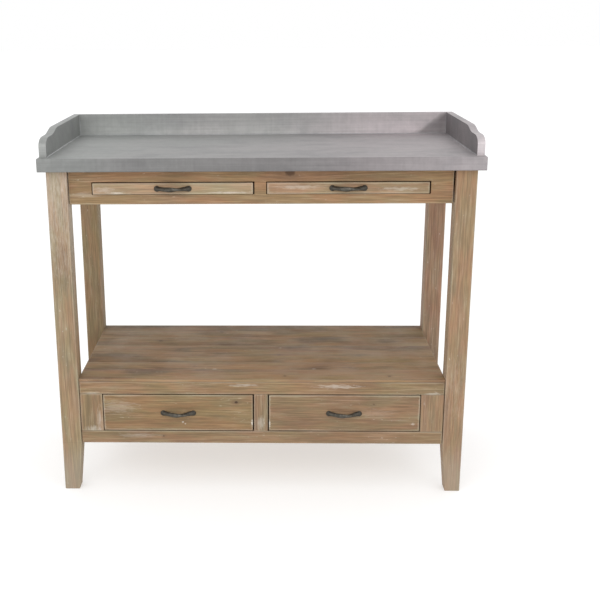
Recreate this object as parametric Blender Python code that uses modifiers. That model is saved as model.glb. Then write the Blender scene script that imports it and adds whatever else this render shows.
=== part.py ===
"""Potting bench: a zinc-clad tray on a four-legged frame, with two shallow drawers and two deep ones.

Units are metres. +Z is up, the front faces -Y and the origin is on the floor under the middle of the tray.
"""

import math
from dataclasses import dataclass

import bmesh
import bpy
from mathutils import Euler, Vector

# --- Gaps and running clearances -------------------------------------------------------------------
GAP = 0.0003            # between pieces that touch
SLIDE_GAP = 0.0010      # beside a drawer, to its guides
KICKER_GAP = 0.0015     # above a drawer's sides

# --- Tray ------------------------------------------------------------------------------------------
TRAY_LENGTH = 1.066
TRAY_DEPTH = 0.495
WORK_HEIGHT = 0.872
TRAY_EDGE = 0.032
ZINC = 0.0010
ZINC_FOLD_RADIUS = 0.0020

# --- Boards round the tray ---------------------------------------------------------------------------
UPSTAND_HEIGHT = 0.0575
UPSTAND_THICKNESS = 0.018
UPSTAND_END_INSET = 0.0035
UPSTAND_BACK_INSET = 0.0020
SIDE_BOARD_SETBACK = 0.022
NOSE_BASE = 0.026
NOSE_RUN = 0.040
NOSE_RISE = 0.0195
STEP_START = 0.075
STEP_END = 0.150
OGEE_STEPS = 8

# --- Legs ------------------------------------------------------------------------------------------
LEG = 0.050
LEG_EASE = 0.0015
END_OVERHANG = 0.0165
FRONT_OVERHANG = 0.022
BACK_OVERHANG = 0.005
FOOT = 0.0385

# --- Aprons, just under the tray -----------------------------------------------------------------------
APRON_HEIGHT = 0.084
APRON_THICKNESS = 0.020
APRON_SETBACK = 0.012
TENON_THICKNESS = 0.008
TENON_SHOULDER = 0.012
MORTISE_WALL = 0.004    # left in a leg between its two mortises
CORNER_BLOCK_WIDTH = 0.025
CORNER_BLOCK_HEIGHT = 0.060

# --- Upper drawers -----------------------------------------------------------------------------------
UPPER_OPENING_HEIGHT = 0.031
UPPER_OPENING_SILL = 0.0235
UPPER_END_STOCK = 0.0573
UPPER_DIVIDER = 0.0284
UPPER_SIDE_DROP = 0.005
RUNNER_FOOT = 0.014
RUNNER_LIP = 0.010
RUNNER_WALL = 0.014
RUNNER_SHELF = 0.009

# --- Lower box ---------------------------------------------------------------------------------------
SHELF_HEIGHT = 0.3065
SHELF_THICKNESS = 0.0070
BOX_SETBACK = 0.004
BOX_END_GAP = 0.0012
FRAME_THICKNESS = 0.020
TOP_RAIL = 0.033
BOTTOM_RAIL = 0.0335
LOWER_OPENING_HEIGHT = 0.102
END_STILE = 0.0578
MIDDLE_STILE = 0.035
SIDE_PANEL = 0.015
BACK_PANEL = 0.008
BACK_PANEL_INSET = 0.006
BOTTOM_PANEL = 0.012
GUIDE_HEIGHT = 0.030
LOWER_SIDE_DROP = 0.010

# --- All drawers -------------------------------------------------------------------------------------
FACE_SIDE_GAP = 0.0020
FACE_TOP_GAP = 0.0025
FACE_BOTTOM_GAP = 0.0008
FRONT_THICKNESS = 0.018
FRONT_CLEARANCE = 0.0010        # behind a drawer's front, to the pieces that guide its sides
REAR_CLEARANCE = 0.0245
UPPER_SIDE = 0.010
LOWER_SIDE = 0.012
DRAWER_BOTTOM = 0.004
BOTTOM_LIFT = 0.005
GROOVE_DEPTH = 0.005

# --- Pulls -------------------------------------------------------------------------------------------
PULL_CENTRES = 0.076
PULL_PROJECTION = 0.0195
PULL_BEND = 0.012
ROSETTE_RADIUS = 0.0078
ROSETTE_THICKNESS = 0.0030
POST_RADIUS = 0.0040
BAR_RADIUS = 0.0057
STUD_RADIUS = 0.0022
STUD_HEAD_RADIUS = 0.0045
STUD_HEAD_THICKNESS = 0.0025
RING_STEP = 0.00005     # run over which the turned profile jumps from one radius to the next
BEND_STEPS = 5
BAR_STEPS = 6

EASE = 0.0010           # eased arris on boards
WELD = 0.000001         # points of an outline closer than this are one point
STUD_HOLE_SEGMENTS = 20
SHARP_ANGLE = math.radians(40)

# --- Places that follow from the sizes above ---------------------------------------------------------
TRAY_FRONT = -TRAY_DEPTH / 2
TRAY_BACK = TRAY_DEPTH / 2
TRAY_UNDERSIDE = WORK_HEIGHT - TRAY_EDGE
BOARD_TOP = WORK_HEIGHT + UPSTAND_HEIGHT
BOARD_END = TRAY_LENGTH / 2 - UPSTAND_END_INSET
BACK_BOARD_FRONT = TRAY_BACK - UPSTAND_BACK_INSET - UPSTAND_THICKNESS
BOARD_BASE = WORK_HEIGHT - ZINC

LEG_END = TRAY_LENGTH / 2 - END_OVERHANG
LEG_INNER = LEG_END - LEG
LEGS_FRONT = TRAY_FRONT + FRONT_OVERHANG
LEGS_BACK = TRAY_BACK - BACK_OVERHANG
LEG_TOP = TRAY_UNDERSIDE - GAP

APRON_TOP = LEG_TOP
APRON_BASE = TRAY_UNDERSIDE - APRON_HEIGHT
APRON_FRONT = LEGS_FRONT + APRON_SETBACK
APRON_BACK = LEGS_BACK - APRON_SETBACK
APRON_END = LEG_END - APRON_SETBACK
TENON_LENGTH = LEG - APRON_SETBACK - (APRON_THICKNESS + TENON_THICKNESS) / 2 - MORTISE_WALL

UPPER_SILL = APRON_BASE + UPPER_OPENING_SILL
UPPER_OPENING_WIDTH = LEG_INNER - UPPER_END_STOCK - UPPER_DIVIDER / 2
UPPER_SIDE_HEIGHT = UPPER_OPENING_HEIGHT - UPPER_SIDE_DROP
UPPER_CENTRE = (UPPER_DIVIDER + UPPER_OPENING_WIDTH) / 2

SHELF_UNDERSIDE = SHELF_HEIGHT - SHELF_THICKNESS
BOX_FRONT = LEGS_FRONT + BOX_SETBACK
BOX_BACK = LEGS_BACK
BOX_END = LEG_INNER - GAP
FRAME_END = LEG_INNER - BOX_END_GAP
LOWER_SILL = SHELF_UNDERSIDE - TOP_RAIL - LOWER_OPENING_HEIGHT
BOX_BASE = LOWER_SILL - BOTTOM_RAIL
LOWER_OPENING_WIDTH = FRAME_END - END_STILE - MIDDLE_STILE / 2
LOWER_SIDE_HEIGHT = LOWER_OPENING_HEIGHT - LOWER_SIDE_DROP
LOWER_CENTRE = (MIDDLE_STILE + LOWER_OPENING_WIDTH) / 2
CARCASS_FRONT = BOX_FRONT + FRAME_THICKNESS + GAP
CARCASS_BACK = BOX_BACK - BACK_PANEL_INSET
PANEL_INNER = BOX_END - SIDE_PANEL
UPPER_DRAWER_LENGTH = APRON_BACK - APRON_THICKNESS - REAR_CLEARANCE - APRON_FRONT
LOWER_DRAWER_LENGTH = CARCASS_BACK - BACK_PANEL - REAR_CLEARANCE - BOX_FRONT

SIDES = {"left": -1, "right": 1}


@dataclass(frozen=True)
class DrawerRow:
    """What the two drawers of a row share. Each opening's middle is at centre from the bench's middle."""

    name: str
    centre: float
    face_y: float
    sill: float
    opening_width: float
    opening_height: float
    side_height: float
    side: float
    length: float
    front_finish: str


UPPER_ROW = DrawerRow(
    name="upper",
    centre=UPPER_CENTRE,
    face_y=APRON_FRONT,
    sill=UPPER_SILL,
    opening_width=UPPER_OPENING_WIDTH,
    opening_height=UPPER_OPENING_HEIGHT,
    side_height=UPPER_SIDE_HEIGHT,
    side=UPPER_SIDE,
    length=UPPER_DRAWER_LENGTH,
    front_finish="limed_wood",
)
LOWER_ROW = DrawerRow(
    name="lower",
    centre=LOWER_CENTRE,
    face_y=BOX_FRONT,
    sill=LOWER_SILL,
    opening_width=LOWER_OPENING_WIDTH,
    opening_height=LOWER_OPENING_HEIGHT,
    side_height=LOWER_SIDE_HEIGHT,
    side=LOWER_SIDE,
    length=LOWER_DRAWER_LENGTH,
    front_finish="weathered_wood",
)

# Colour, roughness and metallic value of each finish.
FINISHES = {
    "zinc": ((0.33, 0.34, 0.34), 0.42, 1.0),
    "bare_core": ((0.46, 0.34, 0.22), 0.80, 0.0),
    "weathered_wood": ((0.42, 0.31, 0.20), 0.72, 0.0),
    "limed_wood": ((0.55, 0.45, 0.32), 0.70, 0.0),
    "drawer_wood": ((0.52, 0.41, 0.28), 0.75, 0.0),
    "aged_bronze": ((0.07, 0.06, 0.05), 0.40, 1.0),
}


def clear_scene():
    """Remove whatever the scene starts with."""
    for item in list(bpy.data.objects):
        bpy.data.objects.remove(item, do_unlink=True)


def new_collection(name):
    collection = bpy.data.collections.new(name)
    bpy.context.scene.collection.children.link(collection)
    return collection


def finish_material(node, finish):
    """A material of the node's own, in the named finish."""
    colour, roughness, metallic = FINISHES[finish]
    material = bpy.data.materials.new(f"{node}_{finish}")
    material.use_nodes = True
    shader = material.node_tree.nodes["Principled BSDF"]
    shader.inputs["Base Color"].default_value = (*colour, 1.0)
    shader.inputs["Roughness"].default_value = roughness
    shader.inputs["Metallic"].default_value = metallic
    return material


def add_piece(name, mesh, place, finish, parent=None):
    """Put a mesh in the bench's collection as one sub-part, at a world place under its parent."""
    piece = bpy.data.objects.new(name, mesh)
    PARTS.objects.link(piece)
    piece.parent = parent
    piece.location = Vector(place) - (parent.location if parent else Vector())
    mesh.materials.append(finish_material(name, finish))
    return piece


def box_mesh(name, size):
    mesh = bpy.data.meshes.new(name)
    shape = bmesh.new()
    bmesh.ops.create_cube(shape, size=1.0)
    bmesh.ops.scale(shape, vec=size, verts=shape.verts)
    shape.to_mesh(mesh)
    shape.free()
    return mesh


def middle_and_size(low, high):
    """The centre and the size of the box between two corners."""
    low, high = Vector(low), Vector(high)
    return (low + high) / 2, high - low


def ease_edges(piece, width):
    """Ease a board's arrises."""
    bevel = piece.modifiers.new("eased_edges", "BEVEL")
    bevel.width = width
    bevel.segments = 1
    bevel.limit_method = "ANGLE"
    bevel.angle_limit = SHARP_ANGLE


def board(name, low, high, finish, ease=EASE, parent=None):
    """A rectangular board between two world corners."""
    centre, size = middle_and_size(low, high)
    piece = add_piece(name, box_mesh(name, size), centre, finish, parent)
    if ease:
        ease_edges(piece, ease)
    return piece


def place_cutter(cutter, parent=None):
    """Keep a cutting shape out of the model, in the cutters' collection."""
    CUTTERS.objects.link(cutter)
    cutter.parent = parent
    cutter.hide_render = True
    cutter.display_type = "WIRE"
    return cutter


def box_cutter(name, low, high, parent=None):
    centre, size = middle_and_size(low, high)
    cutter = bpy.data.objects.new(name, box_mesh(name, size))
    cutter.location = centre - (parent.location if parent else Vector())
    return place_cutter(cutter, parent)


def combine(piece, other, operation):
    """Cut another shape from a piece, or join it on."""
    modifier = piece.modifiers.new(other.name, "BOOLEAN")
    modifier.operation = operation
    modifier.solver = "EXACT"
    modifier.object = other


def cut(piece, *cutters):
    for cutter in cutters:
        combine(piece, cutter, "DIFFERENCE")


def mesh_of_curve(curve_object):
    """The closed mesh of a curve, with its caps welded. The curve is removed."""
    bpy.context.scene.collection.objects.link(curve_object)
    bpy.context.view_layer.update()
    evaluated = curve_object.evaluated_get(bpy.context.evaluated_depsgraph_get())
    mesh = bpy.data.meshes.new_from_object(evaluated)
    mesh.materials.clear()
    shape = bmesh.new()
    shape.from_mesh(mesh)
    bmesh.ops.remove_doubles(shape, verts=shape.verts, dist=WELD)
    bmesh.ops.recalc_face_normals(shape, faces=shape.faces)
    shape.to_mesh(mesh)
    shape.free()
    mesh.name = curve_object.name
    bpy.data.objects.remove(curve_object)
    return mesh


def join_caps(mesh):
    """Make each flat end of an outline that was thickened along Z a single face."""
    shape = bmesh.new()
    shape.from_mesh(mesh)
    for end in (-1, 1):
        cap = [face for face in shape.faces if min(end * vertex.co.z for vertex in face.verts) > 0]
        bmesh.ops.dissolve_faces(shape, faces=cap)
    shape.to_mesh(mesh)
    shape.free()


def outline_mesh(name, outline, thickness, turn):
    """A flat outline of (x, y) points, thickened evenly about its own plane and turned by Euler angles."""
    curve = bpy.data.curves.new(name, "CURVE")
    curve.dimensions = "2D"
    curve.fill_mode = "BOTH"
    curve.extrude = thickness / 2
    spline = curve.splines.new("POLY")
    spline.points.add(len(outline) - 1)
    for point, (across, up) in zip(spline.points, outline):
        point.co = (across, up, 0.0, 1.0)
    spline.use_cyclic_u = True
    mesh = mesh_of_curve(bpy.data.objects.new(name, curve))
    join_caps(mesh)
    mesh.transform(Euler(turn).to_matrix().to_4x4())
    return mesh


# Turns for outlines drawn in (y, z), thickened along X, and in (x, z), thickened along Y.
FACING_X = (math.pi / 2, 0.0, math.pi / 2)
FACING_Y = (math.pi / 2, 0.0, 0.0)


def mirrored(outline, side):
    """An outline drawn for the right-hand side, for either side."""
    return [(side * across, up) for across, up in outline]


# --- Tray and its boards -----------------------------------------------------------------------------

def board_slots():
    """Cutters for the slots in the tray's sheet through which its boards stand on the wooden core."""
    low_z, high_z = WORK_HEIGHT - 2 * ZINC, WORK_HEIGHT + ZINC
    end = BOARD_END + GAP
    slots = [box_cutter(
        "back_board_slot",
        (-end, BACK_BOARD_FRONT - GAP, low_z),
        (end, BACK_BOARD_FRONT + UPSTAND_THICKNESS + GAP, high_z),
    )]
    for side_name, side in SIDES.items():
        across = sorted((side * end, side * (BOARD_END - UPSTAND_THICKNESS - GAP)))
        slots.append(box_cutter(
            f"{side_name}_side_board_slot",
            (across[0], TRAY_FRONT + SIDE_BOARD_SETBACK - GAP, low_z),
            (across[1], BACK_BOARD_FRONT + UPSTAND_THICKNESS / 2, high_z),
        ))
    return slots


def build_tray():
    """A folded sheet over a wooden core. The sheet's top is cut out under the boards."""
    half_length = TRAY_LENGTH / 2
    skin = board(
        "tray_zinc",
        (-half_length, TRAY_FRONT, TRAY_UNDERSIDE),
        (half_length, TRAY_BACK, WORK_HEIGHT),
        "zinc",
        ease=ZINC_FOLD_RADIUS / 2,
    )
    cut(skin, box_cutter(
        "tray_zinc_inside",
        (ZINC - half_length, TRAY_FRONT + ZINC, TRAY_UNDERSIDE - TRAY_EDGE),
        (half_length - ZINC, TRAY_BACK - ZINC, WORK_HEIGHT - ZINC),
    ), *board_slots())
    inside = ZINC + GAP
    board(
        "tray_core",
        (inside - half_length, TRAY_FRONT + inside, TRAY_UNDERSIDE),
        (half_length - inside, TRAY_BACK - inside, WORK_HEIGHT - inside),
        "bare_core",
        ease=0.0,
    )


def build_back_board():
    """The zinc-covered board across the back of the tray."""
    back = BACK_BOARD_FRONT + UPSTAND_THICKNESS
    skin = board(
        "back_board_zinc",
        (-BOARD_END, BACK_BOARD_FRONT, BOARD_BASE),
        (BOARD_END, back, BOARD_TOP),
        "zinc",
        ease=ZINC_FOLD_RADIUS / 2,
    )
    cut(skin, box_cutter(
        "back_board_inside",
        (ZINC - BOARD_END, BACK_BOARD_FRONT + ZINC, BOARD_BASE - UPSTAND_HEIGHT),
        (BOARD_END - ZINC, back - ZINC, BOARD_TOP - ZINC),
    ))
    inside = ZINC + GAP
    board(
        "back_board_core",
        (inside - BOARD_END, BACK_BOARD_FRONT + inside, BOARD_BASE),
        (BOARD_END - inside, back - inside, BOARD_TOP - inside),
        "bare_core",
        ease=0.0,
    )


def ogee_curve():
    """(distance behind the nose, height) along the shaped top: rounded nose, then S-shaped step."""
    nose = []
    for step in range(OGEE_STEPS + 1):
        angle = math.pi / 2 * step / OGEE_STEPS
        nose.append((
            NOSE_RUN * (1 - math.cos(angle)),
            NOSE_BASE + NOSE_RISE * math.sin(angle),
        ))
    landing = NOSE_BASE + NOSE_RISE
    rise = []
    for step in range(OGEE_STEPS + 1):
        share = step / OGEE_STEPS
        rise.append((
            STEP_START + (STEP_END - STEP_START) * share,
            landing + (UPSTAND_HEIGHT - landing) * (1 - math.cos(math.pi * share)) / 2,
        ))
    return nose + rise


def side_board_outline(inset, base):
    """(y, z) outline of a side board, moved in by inset on its nose, top and back, down to base."""
    front = TRAY_FRONT + SIDE_BOARD_SETBACK
    back = BACK_BOARD_FRONT - GAP
    curve = [Vector((front + run, WORK_HEIGHT + rise)) for run, rise in ogee_curve()]
    before = [curve[0] - Vector((0.0, 1.0))] + curve[:-1]
    after = curve[1:] + [curve[-1] + Vector((1.0, 0.0))]
    outline = [(front + inset, base)]
    for previous, point, following in zip(before, curve, after):
        along = ((point - previous).normalized() + (following - point).normalized()).normalized()
        outline.append((point.x + inset * along.y, point.y - inset * along.x))
    outline.append((back - inset, BOARD_TOP - inset))
    outline.append((back - inset, base))
    return outline


def build_side_board(side_name, side):
    """One ogee-fronted side board: a core in a folded zinc cover that is open underneath."""
    middle = (side * (BOARD_END - UPSTAND_THICKNESS / 2), 0.0, 0.0)
    name = f"{side_name}_side_board"
    skin = add_piece(
        f"{name}_zinc",
        outline_mesh(f"{name}_zinc", side_board_outline(0.0, BOARD_BASE), UPSTAND_THICKNESS, FACING_X),
        middle,
        "zinc",
    )
    hollow = outline_mesh(
        f"{name}_inside",
        side_board_outline(ZINC, BOARD_BASE - UPSTAND_HEIGHT),
        UPSTAND_THICKNESS - 2 * ZINC,
        FACING_X,
    )
    cutter = bpy.data.objects.new(f"{name}_inside", hollow)
    cutter.location = middle
    cut(skin, place_cutter(cutter))
    inside = ZINC + GAP
    core_thickness = UPSTAND_THICKNESS - 2 * inside
    core = outline_mesh(f"{name}_core", side_board_outline(inside, BOARD_BASE), core_thickness, FACING_X)
    add_piece(f"{name}_core", core, middle, "bare_core")


# --- Legs and aprons ---------------------------------------------------------------------------------

def leg_mesh(name, inward_x, inward_y):
    """A square leg whose foot tapers on the two inner faces, below the box."""
    mesh = box_mesh(name, (LEG, LEG, LEG_TOP))
    shape = bmesh.new()
    shape.from_mesh(mesh)
    bmesh.ops.bisect_plane(
        shape,
        geom=shape.verts[:] + shape.edges[:] + shape.faces[:],
        plane_co=(0.0, 0.0, BOX_BASE - LEG_TOP / 2),
        plane_no=(0.0, 0.0, 1.0),
    )
    for vertex in shape.verts:
        if vertex.co.z > -LEG_TOP / 2 + GAP:
            continue
        if vertex.co.x * inward_x > 0:
            vertex.co.x -= inward_x * (LEG - FOOT)
        if vertex.co.y * inward_y > 0:
            vertex.co.y -= inward_y * (LEG - FOOT)
    shape.to_mesh(mesh)
    shape.free()
    return mesh


def tenon_span(apron_face, inward):
    """Where a tenon lies across an apron's thickness, given its outer face and the way in from it."""
    near = apron_face + inward * (APRON_THICKNESS - TENON_THICKNESS) / 2
    far = near + inward * TENON_THICKNESS
    return min(near, far), max(near, far)


def apron_tenon(name, side, across, widen, along_y):
    """A tenon on an apron's end, or with widen above 0 the mortise that takes it.

    along_y is None on the front and back aprons, whose tenons run along X. On the side aprons it is
    (where the shoulder stands, which way the tenon points).
    """
    low_z = APRON_BASE + TENON_SHOULDER - widen
    high_z = APRON_TOP - TENON_SHOULDER + widen
    if along_y is None:
        ends = sorted((side * (LEG_INNER - 2 * GAP), side * (LEG_INNER + TENON_LENGTH + widen)))
        low = (ends[0], across[0] - widen, low_z)
        high = (ends[1], across[1] + widen, high_z)
    else:
        shoulder, direction = along_y
        ends = sorted((shoulder - direction * 2 * GAP, shoulder + direction * (TENON_LENGTH + widen)))
        low = (across[0] - widen, ends[0], low_z)
        high = (across[1] + widen, ends[1], high_z)
    return box_cutter(name, low, high)


def build_leg(end_name, side_name, side):
    """One leg, with mortises for the front or back apron and for the side apron."""
    at_front = end_name == "front"
    name = f"{end_name}_{side_name}_leg"
    inward_y = 1 if at_front else -1
    outer_y = LEGS_FRONT if at_front else LEGS_BACK
    centre = (side * (LEG_END - LEG / 2), outer_y + inward_y * LEG / 2, LEG_TOP / 2)
    leg = add_piece(name, leg_mesh(name, -side, inward_y), centre, "weathered_wood")
    ease_edges(leg, LEG_EASE)
    long_apron = APRON_FRONT if at_front else APRON_BACK
    cut(
        leg,
        apron_tenon(f"{name}_long_mortise", side, tenon_span(long_apron, inward_y), GAP, None),
        apron_tenon(
            f"{name}_side_mortise",
            side,
            tenon_span(side * APRON_END, -side),
            GAP,
            (outer_y + inward_y * LEG, -inward_y),
        ),
    )


def cut_drawer_recesses(piece, row):
    """Cut a piece behind a row's openings clear of the drawers' fronts, where it reaches them."""
    half = row.opening_width / 2
    for side_name, side in SIDES.items():
        middle = side * row.centre
        cut(piece, box_cutter(
            f"{piece.name}_{side_name}_recess",
            (middle - half, row.face_y, row.sill),
            (middle + half, row.face_y + FRONT_THICKNESS + FRONT_CLEARANCE, row.sill + row.opening_height),
        ))


def build_long_apron(name, outer_face, inward_y):
    """An apron from leg to leg along the front or the back, tenoned into both."""
    faces = sorted((outer_face, outer_face + inward_y * APRON_THICKNESS))
    end = LEG_INNER - GAP
    apron = board(name, (-end, faces[0], APRON_BASE), (end, faces[1], APRON_TOP), "weathered_wood")
    for side_name, side in SIDES.items():
        across = tenon_span(outer_face, inward_y)
        tenon = apron_tenon(f"{name}_{side_name}_tenon", side, across, 0.0, None)
        combine(apron, tenon, "UNION")
    return apron


def build_front_apron():
    """The front apron, with a cut-out for each upper drawer."""
    apron = build_long_apron("front_apron", APRON_FRONT, 1)
    half = UPPER_OPENING_WIDTH / 2
    for side_name, side in SIDES.items():
        middle = side * UPPER_CENTRE
        cut(apron, box_cutter(
            f"{side_name}_upper_opening",
            (middle - half, APRON_FRONT - APRON_THICKNESS, UPPER_SILL),
            (middle + half, APRON_FRONT + 2 * APRON_THICKNESS, UPPER_SILL + UPPER_OPENING_HEIGHT),
        ))


def build_side_apron(side_name, side):
    """An apron from the front leg to the back leg at one end, tenoned into both."""
    faces = sorted((side * APRON_END, side * (APRON_END - APRON_THICKNESS)))
    front = LEGS_FRONT + LEG
    back = LEGS_BACK - LEG
    name = f"{side_name}_apron"
    apron = board(
        name, (faces[0], front + GAP, APRON_BASE), (faces[1], back - GAP, APRON_TOP), "weathered_wood"
    )
    across = tenon_span(side * APRON_END, -side)
    combine(apron, apron_tenon(f"{name}_front_tenon", side, across, 0.0, (front, -1)), "UNION")
    combine(apron, apron_tenon(f"{name}_back_tenon", side, across, 0.0, (back, 1)), "UNION")


def build_corner_block(end_name, side_name, side):
    """A block behind an apron, in the corner that it makes with a leg."""
    at_front = end_name == "front"
    inward_y = 1 if at_front else -1
    apron_face = (APRON_FRONT if at_front else APRON_BACK) + inward_y * (APRON_THICKNESS + GAP)
    leg_face = (LEGS_FRONT if at_front else LEGS_BACK) + inward_y * LEG
    across = sorted((side * (LEG_INNER - GAP), side * (LEG_INNER - GAP - CORNER_BLOCK_WIDTH)))
    deep = sorted((apron_face, leg_face))
    board(
        f"{end_name}_{side_name}_corner_block",
        (across[0], deep[0], APRON_TOP - CORNER_BLOCK_HEIGHT),
        (across[1], deep[1], APRON_TOP),
        "drawer_wood",
    )


def build_frame():
    for end_name in ("front", "back"):
        for side_name, side in SIDES.items():
            build_leg(end_name, side_name, side)
            build_corner_block(end_name, side_name, side)
    build_front_apron()
    build_long_apron("back_apron", APRON_BACK, -1)
    for side_name, side in SIDES.items():
        build_side_apron(side_name, side)


# --- Upper runners -----------------------------------------------------------------------------------

def runner_groove(edge):
    """(x, z) points of the groove that holds a drawer's side, open towards +X, with its floor at edge."""
    floor = UPPER_SILL
    roof = floor + GAP + UPPER_SIDE_HEIGHT + KICKER_GAP
    lips = edge + RUNNER_SHELF + SLIDE_GAP
    return [(lips, floor - RUNNER_FOOT), (lips, floor), (edge, floor), (edge, roof), (lips, roof),
            (lips, roof + RUNNER_LIP)]


def upper_runner(name, outline):
    front = APRON_FRONT + APRON_THICKNESS + GAP
    back = APRON_BACK - APRON_THICKNESS - GAP
    runner = add_piece(
        name,
        outline_mesh(name, outline, back - front, FACING_Y),
        (0.0, (front + back) / 2, 0.0),
        "drawer_wood",
    )
    cut_drawer_recesses(runner, UPPER_ROW)


def build_upper_runners():
    """Grooved rails from the front apron to the back one: each carries, guides and holds down the sides."""
    outer = UPPER_CENTRE + UPPER_OPENING_WIDTH / 2 + SLIDE_GAP - FACE_SIDE_GAP
    base = UPPER_SILL - RUNNER_FOOT
    top = UPPER_SILL + GAP + UPPER_SIDE_HEIGHT + KICKER_GAP + RUNNER_LIP
    outward = -outer - RUNNER_WALL
    left = [(outward, base), *runner_groove(-outer), (outward, top)]
    upper_runner("left_upper_runner", left)
    upper_runner("right_upper_runner", mirrored(left, -1))
    inner = UPPER_DIVIDER / 2 - SLIDE_GAP + FACE_SIDE_GAP
    right_half = runner_groove(inner)
    left_half = [(-across, up) for across, up in reversed(right_half)]
    upper_runner("middle_upper_runner", right_half + left_half)


# --- Lower box ---------------------------------------------------------------------------------------

def build_face_frame():
    """Two full-width rails with three stiles between them."""
    back = BOX_FRONT + FRAME_THICKNESS
    top_rail_base = LOWER_SILL + LOWER_OPENING_HEIGHT

    def member(name, low_x, high_x, low_z, high_z):
        board(name, (low_x, BOX_FRONT, low_z), (high_x, back, high_z), "weathered_wood")

    member("box_bottom_rail", -FRAME_END, FRAME_END, BOX_BASE, LOWER_SILL)
    member("box_top_rail", -FRAME_END, FRAME_END, top_rail_base, SHELF_UNDERSIDE - GAP)
    low_z, high_z = LOWER_SILL + GAP, top_rail_base - GAP
    opening_end = LOWER_CENTRE + LOWER_OPENING_WIDTH / 2
    member("left_stile", -FRAME_END, -opening_end, low_z, high_z)
    member("right_stile", opening_end, FRAME_END, low_z, high_z)
    member("middle_stile", -MIDDLE_STILE / 2, MIDDLE_STILE / 2, low_z, high_z)


def build_box_panels():
    """The shelf on top of the box, its sides, back and bottom."""
    end = BOX_END
    board(
        "shelf_board",
        (-end, BOX_FRONT, SHELF_UNDERSIDE),
        (end, BOX_BACK, SHELF_HEIGHT),
        "weathered_wood",
    )
    top = SHELF_UNDERSIDE - GAP
    for side_name, side in SIDES.items():
        faces = sorted((side * end, side * PANEL_INNER))
        board(
            f"{side_name}_side_panel",
            (faces[0], CARCASS_FRONT, BOX_BASE),
            (faces[1], CARCASS_BACK, top),
            "weathered_wood",
        )
    inner = PANEL_INNER - GAP
    back_panel_front = CARCASS_BACK - BACK_PANEL
    board(
        "box_back_panel", (-inner, back_panel_front, BOX_BASE), (inner, CARCASS_BACK, top), "drawer_wood"
    )
    board(
        "box_bottom_panel",
        (-inner, CARCASS_FRONT, LOWER_SILL - BOTTOM_PANEL),
        (inner, back_panel_front - GAP, LOWER_SILL),
        "drawer_wood",
        ease=0.0,
    )


def build_lower_guides():
    """Strips beside the lower drawers, and a partition between them whose head stops both from tipping."""
    back = CARCASS_BACK - BACK_PANEL - GAP
    base = LOWER_SILL + GAP
    drawer_end = LOWER_CENTRE + LOWER_OPENING_WIDTH / 2 - FACE_SIDE_GAP
    for side_name, side in SIDES.items():
        faces = sorted((side * (drawer_end + SLIDE_GAP), side * (PANEL_INNER - GAP)))
        board(
            f"{side_name}_lower_guide",
            (faces[0], CARCASS_FRONT, base),
            (faces[1], back, base + GUIDE_HEIGHT),
            "drawer_wood",
        )
    web = MIDDLE_STILE / 2 + FACE_SIDE_GAP - SLIDE_GAP
    head = web + SLIDE_GAP + LOWER_SIDE
    top = SHELF_UNDERSIDE - GAP
    shoulder = LOWER_SILL + GAP + LOWER_SIDE_HEIGHT + KICKER_GAP
    half = [(web, base), (web, shoulder), (head, shoulder), (head, top)]
    outline = half + [(-across, up) for across, up in reversed(half)]
    partition = add_piece(
        "middle_partition",
        outline_mesh("middle_partition", outline, back - CARCASS_FRONT, FACING_Y),
        (0.0, (back + CARCASS_FRONT) / 2, 0.0),
        "drawer_wood",
    )
    cut_drawer_recesses(partition, LOWER_ROW)


# --- Drawers -----------------------------------------------------------------------------------------

def pull_profile():
    """(x, y, radius) from the left stud's head out through its rosette and along the bar to the middle."""
    post_x = -PULL_CENTRES / 2
    inside = FRONT_THICKNESS + GAP
    rosette_top = -GAP - ROSETTE_THICKNESS
    points = [
        (post_x, inside + STUD_HEAD_THICKNESS, STUD_HEAD_RADIUS),
        (post_x, inside, STUD_HEAD_RADIUS),
        (post_x, inside - RING_STEP, STUD_RADIUS),
        (post_x, -GAP + RING_STEP, STUD_RADIUS),
        (post_x, -GAP, ROSETTE_RADIUS),
        (post_x, rosette_top + ROSETTE_THICKNESS / 2, ROSETTE_RADIUS),
        (post_x, rosette_top, (ROSETTE_RADIUS + POST_RADIUS) / 2),
    ]
    bend_start = -PULL_PROJECTION + PULL_BEND
    for step in range(BEND_STEPS + 1):
        angle = math.pi / 2 * step / BEND_STEPS
        points.append((
            post_x + PULL_BEND * (1 - math.cos(angle)),
            bend_start - PULL_BEND * math.sin(angle),
            POST_RADIUS,
        ))
    bar_start = post_x + PULL_BEND
    for step in range(1, BAR_STEPS + 1):
        share = step / BAR_STEPS
        swell = (1 - math.cos(math.pi * share)) / 2
        points.append((
            bar_start * (1 - share),
            -PULL_PROJECTION,
            POST_RADIUS + (BAR_RADIUS - POST_RADIUS) * swell,
        ))
    return points


def pull_mesh(name):
    """A bowed cast pull with a rosette and a stud at each end, centred on a drawer's face."""
    half = pull_profile()
    points = half + [(-across, out, radius) for across, out, radius in reversed(half[:-1])]
    curve = bpy.data.curves.new(name, "CURVE")
    curve.dimensions = "3D"
    curve.bevel_depth = 1.0
    curve.bevel_resolution = 3
    curve.use_fill_caps = True
    curve.twist_mode = "Z_UP"
    spline = curve.splines.new("POLY")
    spline.points.add(len(points) - 1)
    for point, (across, out, radius) in zip(spline.points, points):
        point.co = (across, out, 0.0, 1.0)
        point.radius = radius
    return mesh_of_curve(bpy.data.objects.new(name, curve))


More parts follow.
